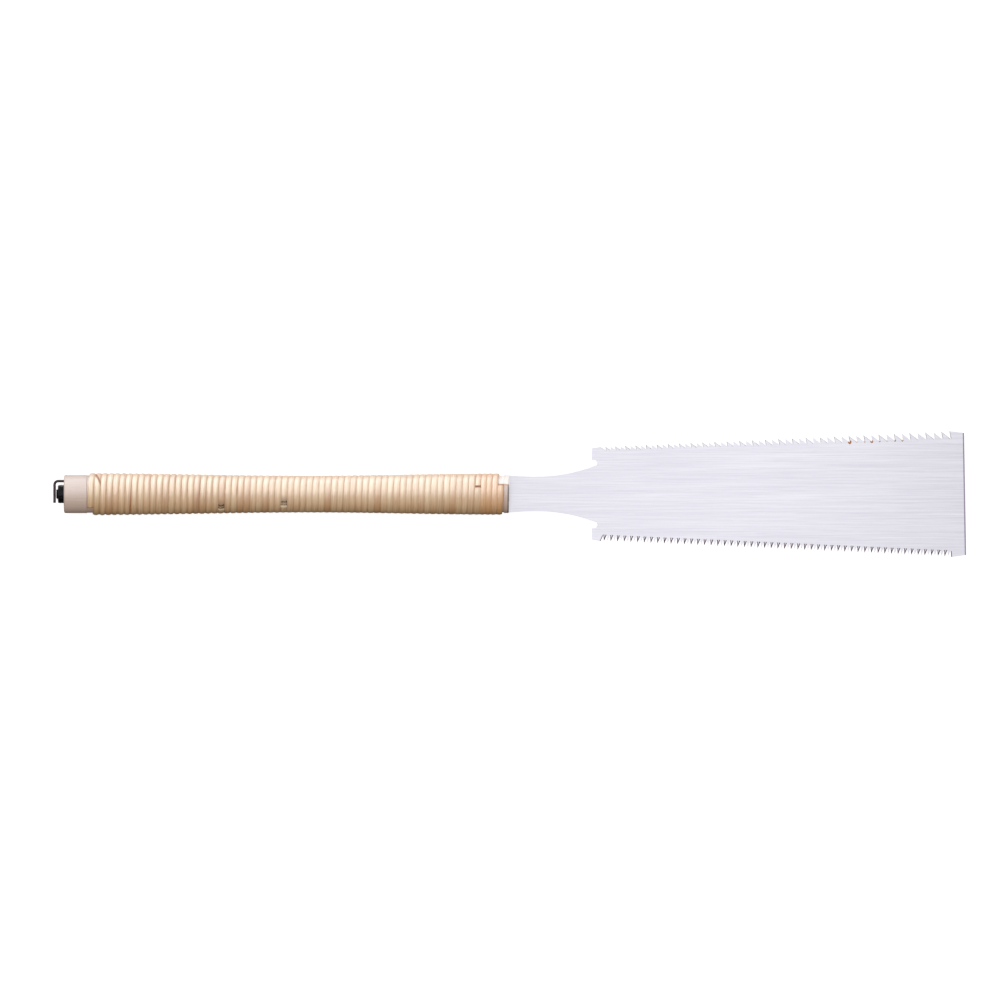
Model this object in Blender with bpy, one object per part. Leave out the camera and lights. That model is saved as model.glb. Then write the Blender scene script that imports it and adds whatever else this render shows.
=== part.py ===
# Ryoba saw: a thin blade with a rip and a crosscut edge, held by a draw chuck in a rattan-bound handle.
# Metres, +Z up. The saw lies flat, toe at +X and rip edge at +Y. Every piece is laid out from the
# middle of the handle's mouth, and one empty then lifts the saw's axis to its height above the floor.

import math

import bmesh
import bpy
from mathutils import Vector

MM = 0.001

# Fits
CLEARANCE = 0.25 * MM
GLUE_LINE = 0.1 * MM

# Blade plate, from the mouth of the handle
BLADE_THICKNESS = 0.7 * MM
SHOULDER_WIDTH = 29.0 * MM
NECK_WAIST_WIDTH = 26.8 * MM
NECK_WAIST_AT = 21.0 * MM
HEEL_AT = 64.0 * MM
HEEL_WIDTH = 70.8 * MM
HEEL_LAND = 6.8 * MM
NOTCH_RADIUS = 2.3 * MM
NOTCH_DEPTH = 4.3 * MM
NOTCH_SPREAD = 47.6 * MM
TOE_LAND = 11.2 * MM
TOE_DROP = 1.4 * MM
TOE_SKEW = 0.8 * MM

# Toothed edges
TOOTHED_LENGTH = 270.0 * MM
FIRST_TOOTH_WIDTH = 72.8 * MM
LAST_TOOTH_WIDTH = 97.2 * MM
TOOTH_SET = 0.15 * MM
RIP_PITCH_AT_HEEL = 3.75 * MM
RIP_PITCH_AT_TOE = 6.3 * MM
RIP_DEPTH_AT_HEEL = 2.8 * MM
RIP_DEPTH_AT_TOE = 5.9 * MM
RIP_RAKE = math.radians(11)
RIP_GULLET = 0.4 * MM
RIP_BEVEL = 0.3 * MM
CROSSCUT_PITCH = 2.58 * MM
CROSSCUT_DEPTH = 4.6 * MM
CROSSCUT_TIP_BACK = 0.35 * MM
CROSSCUT_GULLET = 0.3 * MM
CROSSCUT_BEVEL = 0.65 * MM

# Forked tang and the chuck that closes on it
TANG_WIDTH = 11.2 * MM
TANG_LENGTH = 44.0 * MM
CHUCK_SETBACK = 20.0 * MM
CHUCK_LENGTH = 44.0 * MM
CHUCK_LIP = 0.5 * MM
CHUCK_TAPER = 0.9 * MM
CHUCK_WEB = 2.0 * MM
CHUCK_WALL = 1.8 * MM
CHUCK_EDGE = 0.6 * MM
JAW_LENGTH = 28.0 * MM
TANG_PIN_DIAMETER = 4.0 * MM
TANG_PIN_AT = 30.0 * MM
ROD_PIN_DIAMETER = 3.0 * MM
SLEEVE_LENGTH = 40.0 * MM
SLEEVE_WALL = 1.5 * MM
MOUTH_WALL = 12.0 * MM

# Draw rod, nut and washer at the butt
ROD_DIAMETER = 8.0 * MM
ROD_STAND_OUT = 1.3 * MM
ROD_CHAMFER = 0.6 * MM
NUT_FLATS = 13.0 * MM
NUT_HEIGHT = 6.5 * MM
NUT_STAND_OUT = 4.7 * MM
NUT_CHAMFER = math.radians(30)
NUT_FACE_STEP = 0.2 * MM
NUT_TURN = math.radians(128.9)
WASHER_THICKNESS = 1.6 * MM
WASHER_OVERLAP = 0.2 * MM
LOCK_SCREW_DIAMETER = 4.0 * MM
LOCK_SCREW_SINK = 0.2 * MM
LOCK_SOCKET_DEPTH = 1.2 * MM

# Hex key parked beside the nut
KEY_FLATS = 2.0 * MM
KEY_LENGTH = 45.0 * MM
KEY_ARM = 16.8 * MM
KEY_BEND_RADIUS = 2.8 * MM
KEY_HOLE_WALL = 0.6 * MM
KEY_GAP_TO_ROD = 0.4 * MM

# Wooden handle core, with a seat turned for the binding
HANDLE_LENGTH = 343.0 * MM
BUTT_WIDTH = 29.5 * MM
BUTT_THICKNESS = 25.4 * MM
MOUTH_WIDTH = 29.3 * MM
MOUTH_THICKNESS = 25.4 * MM
BUTT_BARE = 17.9 * MM
MOUTH_BARE = 3.9 * MM
BUTT_ROUND = 1.2 * MM
MOUTH_ROUND = 0.5 * MM
SEAT_SHOULDER = 0.4 * MM
SEAT_REAR_WIDTH = 28.9 * MM
SEAT_REAR_THICKNESS = 24.7 * MM
SEAT_WAIST_WIDTH = 24.8 * MM
SEAT_WAIST_THICKNESS = 21.4 * MM
SEAT_FRONT_WIDTH = 28.2 * MM
SEAT_FRONT_THICKNESS = 24.7 * MM
WAIST_AT = 155.0 * MM

# Rattan strands, wound as a left-hand helix from the butt to the mouth
STRAND_THICKNESS = 1.25 * MM
STRAND_CROWN = 0.5
STRAND_GAP = 0.47 * MM
STRAND_BUTT_GAP = 0.5 * MM
REAR_PITCH = 4.85 * MM
REAR_TURNS = 1.208
MAIN_PITCH = 4.81 * MM
FRONT_PITCH = 4.34 * MM
FRONT_TURNS = 4.018
STRAND_START_ANGLE = math.radians(133)
REST_FLAT = 0.5 * MM
TURN_POINTS = 16

# Facets
ROUND_SIDES = 24
NUT_SIDES = 36
HALF_RING_STEPS = 12
SEAT_STEPS = 14
NECK_STEPS = 8
ARC_STEPS = 8
BEND_STEPS = 5
ROUND_STEPS = 3

# Sizes that follow from the ones above
rod_radius = ROD_DIAMETER / 2
rod_bore = rod_radius + CLEARANCE
nut_corner = NUT_FLATS / math.sqrt(3)
washer_radius = nut_corner + WASHER_OVERLAP
counterbore_radius = washer_radius + CLEARANCE
butt_at = -HANDLE_LENGTH
nut_outer_at = butt_at - NUT_STAND_OUT
washer_outer_at = nut_outer_at + NUT_HEIGHT + CLEARANCE
counterbore_floor_at = washer_outer_at + WASHER_THICKNESS + CLEARANCE
rod_end_at = nut_outer_at - ROD_STAND_OUT
key_corner = KEY_FLATS / math.sqrt(3)
key_hole_radius = key_corner + CLEARANCE
key_offset = counterbore_radius + KEY_HOLE_WALL + key_hole_radius
key_arm_at = rod_end_at - KEY_GAP_TO_ROD - KEY_FLATS / 2
slit_height = BLADE_THICKNESS + 2 * CLEARANCE
chuck_front_at = -CHUCK_SETBACK
chuck_rear_at = chuck_front_at - CHUCK_LENGTH
jaw_root_at = chuck_front_at - JAW_LENGTH
rod_front_at = jaw_root_at - CHUCK_WEB - CLEARANCE
chuck_rear_radius = max(TANG_WIDTH / 2 + CHUCK_LIP, rod_bore + CHUCK_WALL)
chuck_front_radius = chuck_rear_radius + CHUCK_TAPER
rod_pin_at = (rod_front_at + chuck_rear_at) / 2
sleeve_front_at = -MOUTH_WALL - CLEARANCE
sleeve_rear_at = sleeve_front_at - SLEEVE_LENGTH
sleeve_radius = chuck_front_radius + CLEARANCE + SLEEVE_WALL
teeth_at = HEEL_AT + HEEL_LAND
teeth_end_at = teeth_at + TOOTHED_LENGTH
toe_at = teeth_end_at + TOE_LAND
seat_rear_at = butt_at + BUTT_BARE
seat_front_at = -MOUTH_BARE


def clear_scene():
    for item in list(bpy.data.objects):
        bpy.data.objects.remove(item, do_unlink=True)


def add_object(name, mesh, location=(0, 0, 0), rotation=(0, 0, 0)):
    item = bpy.data.objects.new(name, mesh)
    bpy.context.scene.collection.objects.link(item)
    item.parent = saw_axis
    item.location = location
    item.rotation_euler = rotation
    return item


def add_piece(name, mesh, finish, location=(0, 0, 0), rotation=(0, 0, 0)):
    item = add_object(name, mesh, location, rotation)
    colour, roughness, metallic = finish
    surface = bpy.data.materials.new(name)
    surface.use_nodes = True
    shader = surface.node_tree.nodes["Principled BSDF"]
    shader.inputs["Base Color"].default_value = (*colour, 1.0)
    shader.inputs["Roughness"].default_value = roughness
    shader.inputs["Metallic"].default_value = metallic
    mesh.materials.append(surface)
    mesh.shade_smooth()
    mesh.set_sharp_from_angle(angle=math.radians(35))
    return item


def add_cutter(name, mesh, location=(0, 0, 0), rotation=(0, 0, 0)):
    item = add_object(name, mesh, location, rotation)
    item.hide_render = True
    item.display_type = "WIRE"
    return item


def combine(piece, other, operation="DIFFERENCE"):
    step = piece.modifiers.new(other.name, "BOOLEAN")
    step.operation = operation
    step.object = other
    step.solver = "EXACT"


def finish_mesh(name, bm):
    bmesh.ops.recalc_face_normals(bm, faces=bm.faces[:])
    mesh = bpy.data.meshes.new(name)
    bm.to_mesh(mesh)
    bm.free()
    return mesh


def loft(name, rings):
    # Skins a row of rings of equal count and closes both ends.
    bm = bmesh.new()
    loops = [[bm.verts.new(point) for point in ring] for ring in rings]
    count = len(loops[0])
    for near, far in zip(loops, loops[1:]):
        for i in range(count):
            j = (i + 1) % count
            bm.faces.new((near[i], near[j], far[j], far[i]))
    bm.faces.new(loops[0])
    bm.faces.new(loops[-1])
    return finish_mesh(name, bm)


def turned(name, profile, sides=ROUND_SIDES):
    # Spins a profile of (distance along X, radius) about the X axis. One that starts off the axis is a ring.
    bm = bmesh.new()
    points = [bm.verts.new((x, radius, 0)) for x, radius in profile]
    edges = [bm.edges.new(ends) for ends in zip(points, points[1:])]
    if profile[0][1] > 0:
        edges.append(bm.edges.new((points[-1], points[0])))
    bmesh.ops.spin(bm, geom=points + edges, cent=(0, 0, 0), axis=(1, 0, 0),
                   angle=2 * math.pi, steps=sides, use_merge=True)
    bmesh.ops.remove_doubles(bm, verts=bm.verts[:], dist=CLEARANCE / 100)
    return finish_mesh(name, bm)


def rod_mesh(name, start, end, radius, chamfer=0.0, sides=ROUND_SIDES):
    profile = [(start, 0), (start, radius - chamfer), (end, radius - chamfer), (end, 0)]
    if chamfer:
        profile[2:2] = [(start + chamfer, radius), (end - chamfer, radius)]
    return turned(name, profile, sides)


def tube_mesh(name, start, end, inner, outer):
    return turned(name, [(start, inner), (start, outer), (end, outer), (end, inner)])


def hexagon_mesh(name, start, end, flats):
    # A bar along X with one flat facing +Y.
    corner = flats / math.sqrt(3)
    turns = [math.radians(30 + 60 * i) for i in range(6)]
    return loft(name, [[(x, corner * math.cos(a), corner * math.sin(a)) for a in turns] for x in (start, end)])


def box_mesh(name, low, high):
    bm = bmesh.new()
    bmesh.ops.create_cube(bm, size=1.0)
    low, high = Vector(low), Vector(high)
    bmesh.ops.scale(bm, vec=high - low, verts=bm.verts[:])
    bmesh.ops.translate(bm, vec=(low + high) / 2, verts=bm.verts[:])
    return finish_mesh(name, bm)


def arc(centre_x, centre_y, radius, first, last, steps=ARC_STEPS):
    angles = [first + (last - first) * i / steps for i in range(steps + 1)]
    return [(centre_x + radius * math.cos(a), centre_y + radius * math.sin(a)) for a in angles]


# Blade


def tip_line(x):
    rise = (LAST_TOOTH_WIDTH - FIRST_TOOTH_WIDTH) / 2 / TOOTHED_LENGTH
    return FIRST_TOOTH_WIDTH / 2 + rise * (x - teeth_at)


def tooth_bases(start, first_pitch, last_pitch):
    # The pitch grows evenly from heel to toe, and the row fills the edge as far as the toe's land.
    length = teeth_end_at - start
    count = round(2 * length / (first_pitch + last_pitch))
    steps = [first_pitch + (last_pitch - first_pitch) * i / (count - 1) for i in range(count)]
    stretch = length / sum(steps)
    ends = [start]
    for step in steps:
        ends.append(ends[-1] + step * stretch)
    return list(zip(ends, ends[1:]))


def tooth_row(side, pitches, depths, tip_shift, gullet, bevel):
    # One entry for each outline point: its place on the upper face, on the lower face, and whether it
    # is a tip. Teeth are set to either side in turn, and bevelled on the face that they lean away from.
    # The land at the heel ends like a tooth's back, and the land at the toe starts like a tooth's front.
    def depth_at(x):
        return depths[0] + (depths[1] - depths[0]) * (x - teeth_at) / TOOTHED_LENGTH

    def root(x):
        return Vector((x, side * (tip_line(x) - depth_at(x)), 0))

    def tip_over(x):
        tip_x = x + tip_shift(depth_at(x))
        return Vector((tip_x, side * tip_line(tip_x), 0))

    half = BLADE_THICKNESS / 2
    row = flat_entries([(teeth_at, side * FIRST_TOOTH_WIDTH / 2)])
    start = teeth_at + pitches[0] - gullet / 2 - tip_shift(depths[0])
    for i, (begin, end) in enumerate(tooth_bases(start, *pitches)):
        near = root(begin + gullet / 2)
        far = root(end - gullet / 2)
        middle = (near + far) / 2
        share = 1 - 2 * bevel / (far.x - near.x)
        lean = 1 if i % 2 else -1
        for point, rise in ((near, 0), (tip_over(near.x), 1), (far, 0)):
            full = point + Vector((0, 0, lean * (half + TOOTH_SET * rise)))
            inset = middle + (point - middle) * share
            inset.z = lean * (TOOTH_SET * rise * share - half)
            upper, lower = (full, inset) if lean > 0 else (inset, full)
            row.append((upper, lower, rise == 1))
    land = root(teeth_end_at + gullet / 2)
    return row + flat_entries([land.xy, tip_over(land.x).xy])


def flat_entries(points):
    half = BLADE_THICKNESS / 2
    return [(Vector((x, y, half)), Vector((x, y, -half)), False) for x, y in points]


def heel_and_neck():
    # Down the heel from its corner, round the notch and along the neck to the shoulder.
    notch_at = HEEL_AT + NOTCH_DEPTH - NOTCH_RADIUS
    notch_y = NOTCH_SPREAD / 2
    points = [(HEEL_AT, HEEL_WIDTH / 2), (HEEL_AT, notch_y + NOTCH_RADIUS)]
    points += arc(notch_at, notch_y, NOTCH_RADIUS, math.pi / 2, -math.pi / 2)
    waist = NECK_WAIST_WIDTH / 2
    foot_rise = notch_y - NOTCH_RADIUS - waist
    for i in range(1, NECK_STEPS + 1):
        along = 1 - i / NECK_STEPS
        points.append((NECK_WAIST_AT + (notch_at - NECK_WAIST_AT) * along, waist + foot_rise * along ** 2))
    shoulder_rise = SHOULDER_WIDTH / 2 - waist
    for i in range(1, NECK_STEPS // 2 + 1):
        along = i / (NECK_STEPS // 2)
        points.append((NECK_WAIST_AT + (CLEARANCE - NECK_WAIST_AT) * along, waist + shoulder_rise * along ** 2))
    return points


def tang():
    # The upper prong of the fork, as far as the axis.
    fork = TANG_PIN_DIAMETER / 2 + CLEARANCE
    points = [(CLEARANCE, TANG_WIDTH / 2), (-TANG_LENGTH, TANG_WIDTH / 2), (-TANG_LENGTH, fork)]
    return points + arc(-TANG_PIN_AT, 0, fork, math.pi / 2, 0, ARC_STEPS // 2)


def blade_mesh():
    def rip_tip(depth):
        return -depth * math.tan(RIP_RAKE)

    def crosscut_tip(depth):
        return CROSSCUT_TIP_BACK

    rip = tooth_row(1, (RIP_PITCH_AT_HEEL, RIP_PITCH_AT_TOE), (RIP_DEPTH_AT_HEEL, RIP_DEPTH_AT_TOE),
                    rip_tip, RIP_GULLET, RIP_BEVEL)
    crosscut = tooth_row(-1, (CROSSCUT_PITCH, CROSSCUT_PITCH), (CROSSCUT_DEPTH, CROSSCUT_DEPTH),
                         crosscut_tip, CROSSCUT_GULLET, CROSSCUT_BEVEL)
    side = heel_and_neck() + tang()
    other_side = [(x, -y) for x, y in reversed(side[:-1])]
    toe_half = LAST_TOOTH_WIDTH / 2 - TOE_DROP
    toe = [(toe_at + TOE_SKEW, -toe_half), (toe_at - TOE_SKEW, toe_half)]
    outline = flat_entries(side + other_side) + crosscut + flat_entries(toe) + rip[::-1]

    bm = bmesh.new()
    upper = [bm.verts.new(entry[0]) for entry in outline]
    lower = [bm.verts.new(entry[1]) for entry in outline]
    tips = [i for i, entry in enumerate(outline) if entry[2]]
    for face in (upper, lower):
        bm.faces.new([point for i, point in enumerate(face) if not outline[i][2]])
        for i in tips:
            bm.faces.new((face[i - 1], face[i], face[i + 1]))
    for i in range(len(outline)):
        bm.faces.new((upper[i - 1], upper[i], lower[i], lower[i - 1]))
    return finish_mesh("blade", bm)


# Handle core


def seat_half(x, rear, waist, front):
    # Half a width or thickness of the wood under the binding, drawn in at the waist.
    if x < -WAIST_AT:
        along = (-WAIST_AT - x) / (-WAIST_AT - seat_rear_at)
        end = rear
    else:
        along = (x + WAIST_AT) / (seat_front_at + WAIST_AT)
        end = front
    swell = (1 - math.cos(math.pi * min(along, 1.0))) / 2
    return (waist + (end - waist) * swell) / 2


def seat_size(x):
    return (seat_half(x, SEAT_REAR_WIDTH, SEAT_WAIST_WIDTH, SEAT_FRONT_WIDTH),
            seat_half(x, SEAT_REAR_THICKNESS, SEAT_WAIST_THICKNESS, SEAT_FRONT_THICKNESS))


def core_stations():
    # (x, half width, half thickness) from the rounded butt, along the seat, to the rounded mouth.
    butt = (BUTT_WIDTH / 2, BUTT_THICKNESS / 2)
    mouth = (MOUTH_WIDTH / 2, MOUTH_THICKNESS / 2)
    stations = []
    for i in range(ROUND_STEPS + 1):
        a = math.pi / 2 * i / ROUND_STEPS
        drop = BUTT_ROUND * (1 - math.sin(a))
        stations.append((butt_at + BUTT_ROUND * (1 - math.cos(a)), butt[0] - drop, butt[1] - drop))
    stations.append((seat_rear_at - SEAT_SHOULDER, *butt))
    for i in range(SEAT_STEPS + 1):
        x = seat_rear_at + (seat_front_at - seat_rear_at) * i / SEAT_STEPS
        stations.append((x, *seat_size(x)))
    stations.append((seat_front_at + SEAT_SHOULDER, *mouth))
    for i in range(ROUND_STEPS + 1):
        a = math.pi / 2 * i / ROUND_STEPS
        drop = MOUTH_ROUND * (1 - math.cos(a))
        stations.append((-MOUTH_ROUND * (1 - math.sin(a)), mouth[0] - drop, mouth[1] - drop))
    return stations


def core_half_mesh(name, side):
    rings = []
    for x, half_width, half_thickness in core_stations():
        ring = []
        for i in range(HALF_RING_STEPS + 1):
            a = math.pi * i / HALF_RING_STEPS
            rise = GLUE_LINE / 2 + (half_thickness - GLUE_LINE / 2) * math.sin(a)
            ring.append((x, half_width * math.cos(a), side * rise))
        rings.append(ring)
    return loft(name, rings)


def core_cutters():
    # Each cutter that opens on an end of the wood runs well past it.
    past = BUTT_WIDTH
    tang_half = TANG_WIDTH / 2 + CLEARANCE
    pocket = sleeve_radius + CLEARANCE
    return [
        add_cutter("rod_bore", rod_mesh("rod_bore", butt_at - past, chuck_rear_at, rod_bore)),
        add_cutter("washer_seat", rod_mesh("washer_seat", butt_at - past, counterbore_floor_at,
                                           counterbore_radius)),
        add_cutter("chuck_pocket", rod_mesh("chuck_pocket", chuck_rear_at - CLEARANCE, -CHUCK_SETBACK,
                                            chuck_rear_radius + CLEARANCE)),
        add_cutter("sleeve_pocket", rod_mesh("sleeve_pocket", sleeve_rear_at - CLEARANCE, -MOUTH_WALL, pocket)),
        add_cutter("tang_slit", box_mesh("tang_slit", (-CHUCK_SETBACK, -tang_half, -slit_height / 2),
                                         (past, tang_half, slit_height / 2))),
        add_cutter("key_hole", rod_mesh("key_hole", butt_at - past, butt_at + KEY_LENGTH + CLEARANCE,
                                        key_hole_radius), (0, key_offset, 0)),
    ]


# Rattan binding


def strand_size(x):
    # Half sizes at the corners of the wound polygon, so that its flats still clear the wood.
    spread = math.cos(math.pi / TURN_POINTS)
    return [(half + CLEARANCE) / spread for half in seat_size(x)]


def strand_rings(start_at, start_angle, turns, pitch):
    # Angles run from +Y over +Z. A flat of each turn faces straight down, and no ring comes closer to
    # a cut end than a share of one step.
    step = 2 * math.pi / TURN_POINTS
    end_angle = start_angle - 2 * math.pi * turns
    margin = 0.15
    highest = math.floor(start_angle / step - 0.5 - margin)
    lowest = math.ceil(end_angle / step - 0.5 + margin)
    angles = [start_angle]
    angles += [(k + 0.5) * step for k in range(highest, lowest - 1, -1)]
    angles.append(end_angle)
    half = (pitch - STRAND_GAP) / 2
    section = [(-half, 0), (half, 0), (half * STRAND_CROWN, STRAND_THICKNESS),
               (-half * STRAND_CROWN, STRAND_THICKNESS)]
    rings = []
    for a in angles:
        centre = start_at + pitch * (start_angle - a) / (2 * math.pi)
        ring = []
        for along, rise in section:
            half_width, half_thickness = strand_size(centre + along)
            outward = Vector((0, math.cos(a) / half_width, math.sin(a) / half_thickness)).normalized()
            seat = Vector((centre + along, half_width * math.cos(a), half_thickness * math.sin(a)))
            ring.append(seat + outward * rise)
        rings.append(ring)
    return rings


def self_gap(rings):
    # Least distance from the far edge of each turn to the near edge of the next.
    gaps = []
    for i, ring in enumerate(rings):
        for later in rings[i + TURN_POINTS - 1:i + TURN_POINTS + 2]:
            gaps.append((ring[1] - later[0]).length)
    return min(gaps)


def lay_strands():
    # The rear strand starts beside the bare butt, the front strand ends beside the bare mouth, and
    # the main strand fills what lies between. Their cut ends stand a small gap apart.
    rear_at = seat_rear_at + CLEARANCE + (REAR_PITCH - STRAND_GAP) / 2
    front_end_at = seat_front_at - CLEARANCE - (FRONT_PITCH - STRAND_GAP) / 2
    main_at = rear_at + REAR_TURNS * REAR_PITCH
    main_end_at = front_end_at - FRONT_TURNS * FRONT_PITCH
    main_turns = (main_end_at - main_at) / MAIN_PITCH
    main_angle = STRAND_START_ANGLE - 2 * math.pi * REAR_TURNS
    front_angle = main_angle - 2 * math.pi * main_turns
    cut = STRAND_BUTT_GAP / (math.pi * SEAT_REAR_WIDTH)
    return {
        "rattan_binding_rear": strand_rings(rear_at, STRAND_START_ANGLE, REAR_TURNS - cut / 2, REAR_PITCH),
        "rattan_binding_main": strand_rings(main_at + cut / 2 * MAIN_PITCH, main_angle - math.pi * cut,
                                            main_turns - cut, MAIN_PITCH),
        "rattan_binding_front": strand_rings(main_end_at + cut / 2 * FRONT_PITCH, front_angle - math.pi * cut,
                                             FRONT_TURNS - cut / 2, FRONT_PITCH),
    }


# Hex key


def key_mesh():
    # Swept along the parked stem, round the bend and down the arm, from the middle of the hole's mouth.
    arm_x = key_arm_at - butt_at
    bend_x = arm_x + KEY_BEND_RADIUS
    path = [(KEY_LENGTH, 0, math.pi / 2)]
    for i in range(BEND_STEPS + 1):
        a = math.pi / 2 * (1 + i / BEND_STEPS)
        path.append((bend_x + KEY_BEND_RADIUS * math.cos(a), KEY_BEND_RADIUS * (math.sin(a) - 1), a))
    path.append((arm_x, -KEY_ARM, math.pi))
    rings = []
    for x, y, a in path:
        ring = []
        for i in range(6):
            corner = math.radians(30 + 60 * i)
            out = key_corner * math.cos(corner)
            ring.append((x + out * math.cos(a), y + out * math.sin(a), key_corner * math.sin(corner)))
        rings.append(ring)
    return loft("hex_key", rings)


clear_scene()
saw_axis = bpy.data.objects.new("saw_axis", None)
bpy.context.scene.collection.objects.link(saw_axis)

steel = ((0.72, 0.72, 0.76), 0.3, 1.0)
zinc = ((0.55, 0.56, 0.58), 0.4, 1.0)
black_oxide = ((0.03, 0.03, 0.035), 0.45, 0.8)
wood = ((0.74, 0.58, 0.48), 0.6, 0.0)
rattan = ((0.80, 0.62, 0.38), 0.5, 0.0)

# Binding, cut flat where the saw rests on it
strands = lay_strands()
lowest = min(point.z for rings in strands.values() for ring in rings for point in ring)
floor_z = lowest + REST_FLAT
rest_cut = add_cutter("rest_cut", box_mesh("rest_cut", (2 * butt_at, butt_at, 2 * lowest),
                                           (toe_at, -butt_at, floor_z)))
for name, rings in strands.items():
    binding = add_piece(name, loft(name, rings), rattan)
    combine(binding, rest_cut)
    print(f"{name}: least gap to itself {self_gap(rings) / MM:.2f} mm")

# Handle core in two glued halves
cutters = core_cutters()
for name, side in (("handle_core_upper", 1), ("handle_core_lower", -1)):
    half_core = add_piece(name, core_half_mesh(name, side), wood)
    for cutter in cutters:
        combine(half_core, cutter)

# Sleeve with a tapered throat that closes the jaws
throat = [(sleeve_front_at, chuck_front_radius + CLEARANCE + CHUCK_TAPER * (sleeve_front_at - chuck_front_at)
           / JAW_LENGTH), (jaw_root_at, chuck_rear_radius + CLEARANCE),
          (sleeve_rear_at, chuck_rear_radius + CLEARANCE)]
add_piece("throat_sleeve", turned("throat_sleeve", [(sleeve_rear_at, sleeve_radius),
                                                    (sleeve_front_at, sleeve_radius), *throat]), zinc)

# Chuck, bored for the rod, slotted for the tang and drilled for its two pins
chuck = add_piece("draw_chuck", turned("draw_chuck", [
    (chuck_front_at, 0), (chuck_front_at, chuck_front_radius - CHUCK_EDGE),
    (chuck_front_at - CHUCK_EDGE, chuck_front_radius), (jaw_root_at, chuck_rear_radius),
    (chuck_rear_at, chuck_rear_radius), (chuck_rear_at, 0)]), zinc)
wide = 2 * chuck_front_radius
tang_pin_reach = chuck_rear_radius - CLEARANCE
rod_pin_reach = chuck_rear_radius - CLEARANCE
upright = (0, math.pi / 2, 0)
across = (0, 0, math.pi / 2)
combine(chuck, add_cutter("jaw_slot", box_mesh("jaw_slot", (jaw_root_at, -wide, -slit_height / 2),
                                               (0, wide, slit_height / 2))))
combine(chuck, add_cutter("chuck_bore", rod_mesh("chuck_bore", chuck_rear_at - wide, rod_front_at + CLEARANCE,
                                                 rod_bore)))
combine(chuck, add_cutter("tang_pin_hole", rod_mesh("tang_pin_hole", -wide, wide,
                                                    TANG_PIN_DIAMETER / 2 + CLEARANCE), (-TANG_PIN_AT, 0, 0),
                          upright))
rod_pin_hole = add_cutter("rod_pin_hole", rod_mesh("rod_pin_hole", -wide, wide,
                                                   ROD_PIN_DIAMETER / 2 + CLEARANCE), (rod_pin_at, 0, 0), across)
combine(chuck, rod_pin_hole)
add_piece("tang_pin", rod_mesh("tang_pin", -tang_pin_reach, tang_pin_reach, TANG_PIN_DIAMETER / 2), steel,
          (-TANG_PIN_AT, 0, 0), upright)
add_piece("rod_pin", rod_mesh("rod_pin", -rod_pin_reach, rod_pin_reach, ROD_PIN_DIAMETER / 2), steel,
          (rod_pin_at, 0, 0), across)

# Draw rod and what holds it at the butt
rod = add_piece("draw_rod", rod_mesh("draw_rod", rod_end_at, rod_front_at, rod_radius, ROD_CHAMFER), black_oxide)
combine(rod, rod_pin_hole)
add_piece("butt_washer", tube_mesh("butt_washer", washer_outer_at, washer_outer_at + WASHER_THICKNESS, rod_bore,
                                   washer_radius), zinc)

# Nut: a turned blank with its flats cut, and a locking screw in one of them
nut_end = NUT_HEIGHT / 2
nut_pose = ((nut_outer_at + nut_end, 0, 0), (NUT_TURN, 0, 0))
face_radius = NUT_FLATS / 2 - NUT_FACE_STEP
blank_radius = nut_corner + NUT_FACE_STEP
chamfer = (blank_radius - face_radius) * math.tan(NUT_CHAMFER)
nut = add_piece("butt_nut", turned("butt_nut", [
    (-nut_end, 0), (-nut_end, face_radius), (chamfer - nut_end, blank_radius),
    (nut_end - chamfer, blank_radius), (nut_end, face_radius), (nut_end, 0)], NUT_SIDES), black_oxide, *nut_pose)
combine(nut, add_cutter("nut_flats", hexagon_mesh("nut_flats", -NUT_HEIGHT, NUT_HEIGHT, NUT_FLATS), *nut_pose),
        "INTERSECT")
combine(nut, add_cutter("nut_bore", rod_mesh("nut_bore", -NUT_HEIGHT, NUT_HEIGHT, rod_bore), *nut_pose))
screw_top = NUT_FLATS / 2 - LOCK_SCREW_SINK
lock_screw = add_piece("nut_lock_screw", rod_mesh("nut_lock_screw", rod_bore, screw_top, LOCK_SCREW_DIAMETER / 2),
                       black_oxide, (0, 0, 0), across)
lock_hole = add_cutter("lock_hole", rod_mesh("lock_hole", 0, NUT_FLATS, LOCK_SCREW_DIAMETER / 2 + CLEARANCE),
                       (0, 0, 0), across)
lock_socket = add_cutter("lock_socket", hexagon_mesh("lock_socket", screw_top - LOCK_SOCKET_DEPTH, NUT_FLATS,
                                                     KEY_FLATS + CLEARANCE), (0, 0, 0), across)
for item in (lock_screw, lock_hole, lock_socket):
    item.parent = nut
combine(nut, lock_hole)
combine(lock_screw, lock_socket)

# Blade and key
add_piece("blade", blade_mesh(), steel)
add_piece("hex_key", key_mesh(), black_oxide, (butt_at, key_offset, 0))

# The saw's box is centred over the origin, and its rest flats lie on the floor
back_at = key_arm_at - KEY_FLATS / 2
front_at = toe_at + TOE_SKEW
saw_axis.location = (-(back_at + front_at) / 2, 0, -floor_z)
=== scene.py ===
import math
from functools import partial

import bmesh
import bpy
from mathutils import Matrix, Vector


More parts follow.
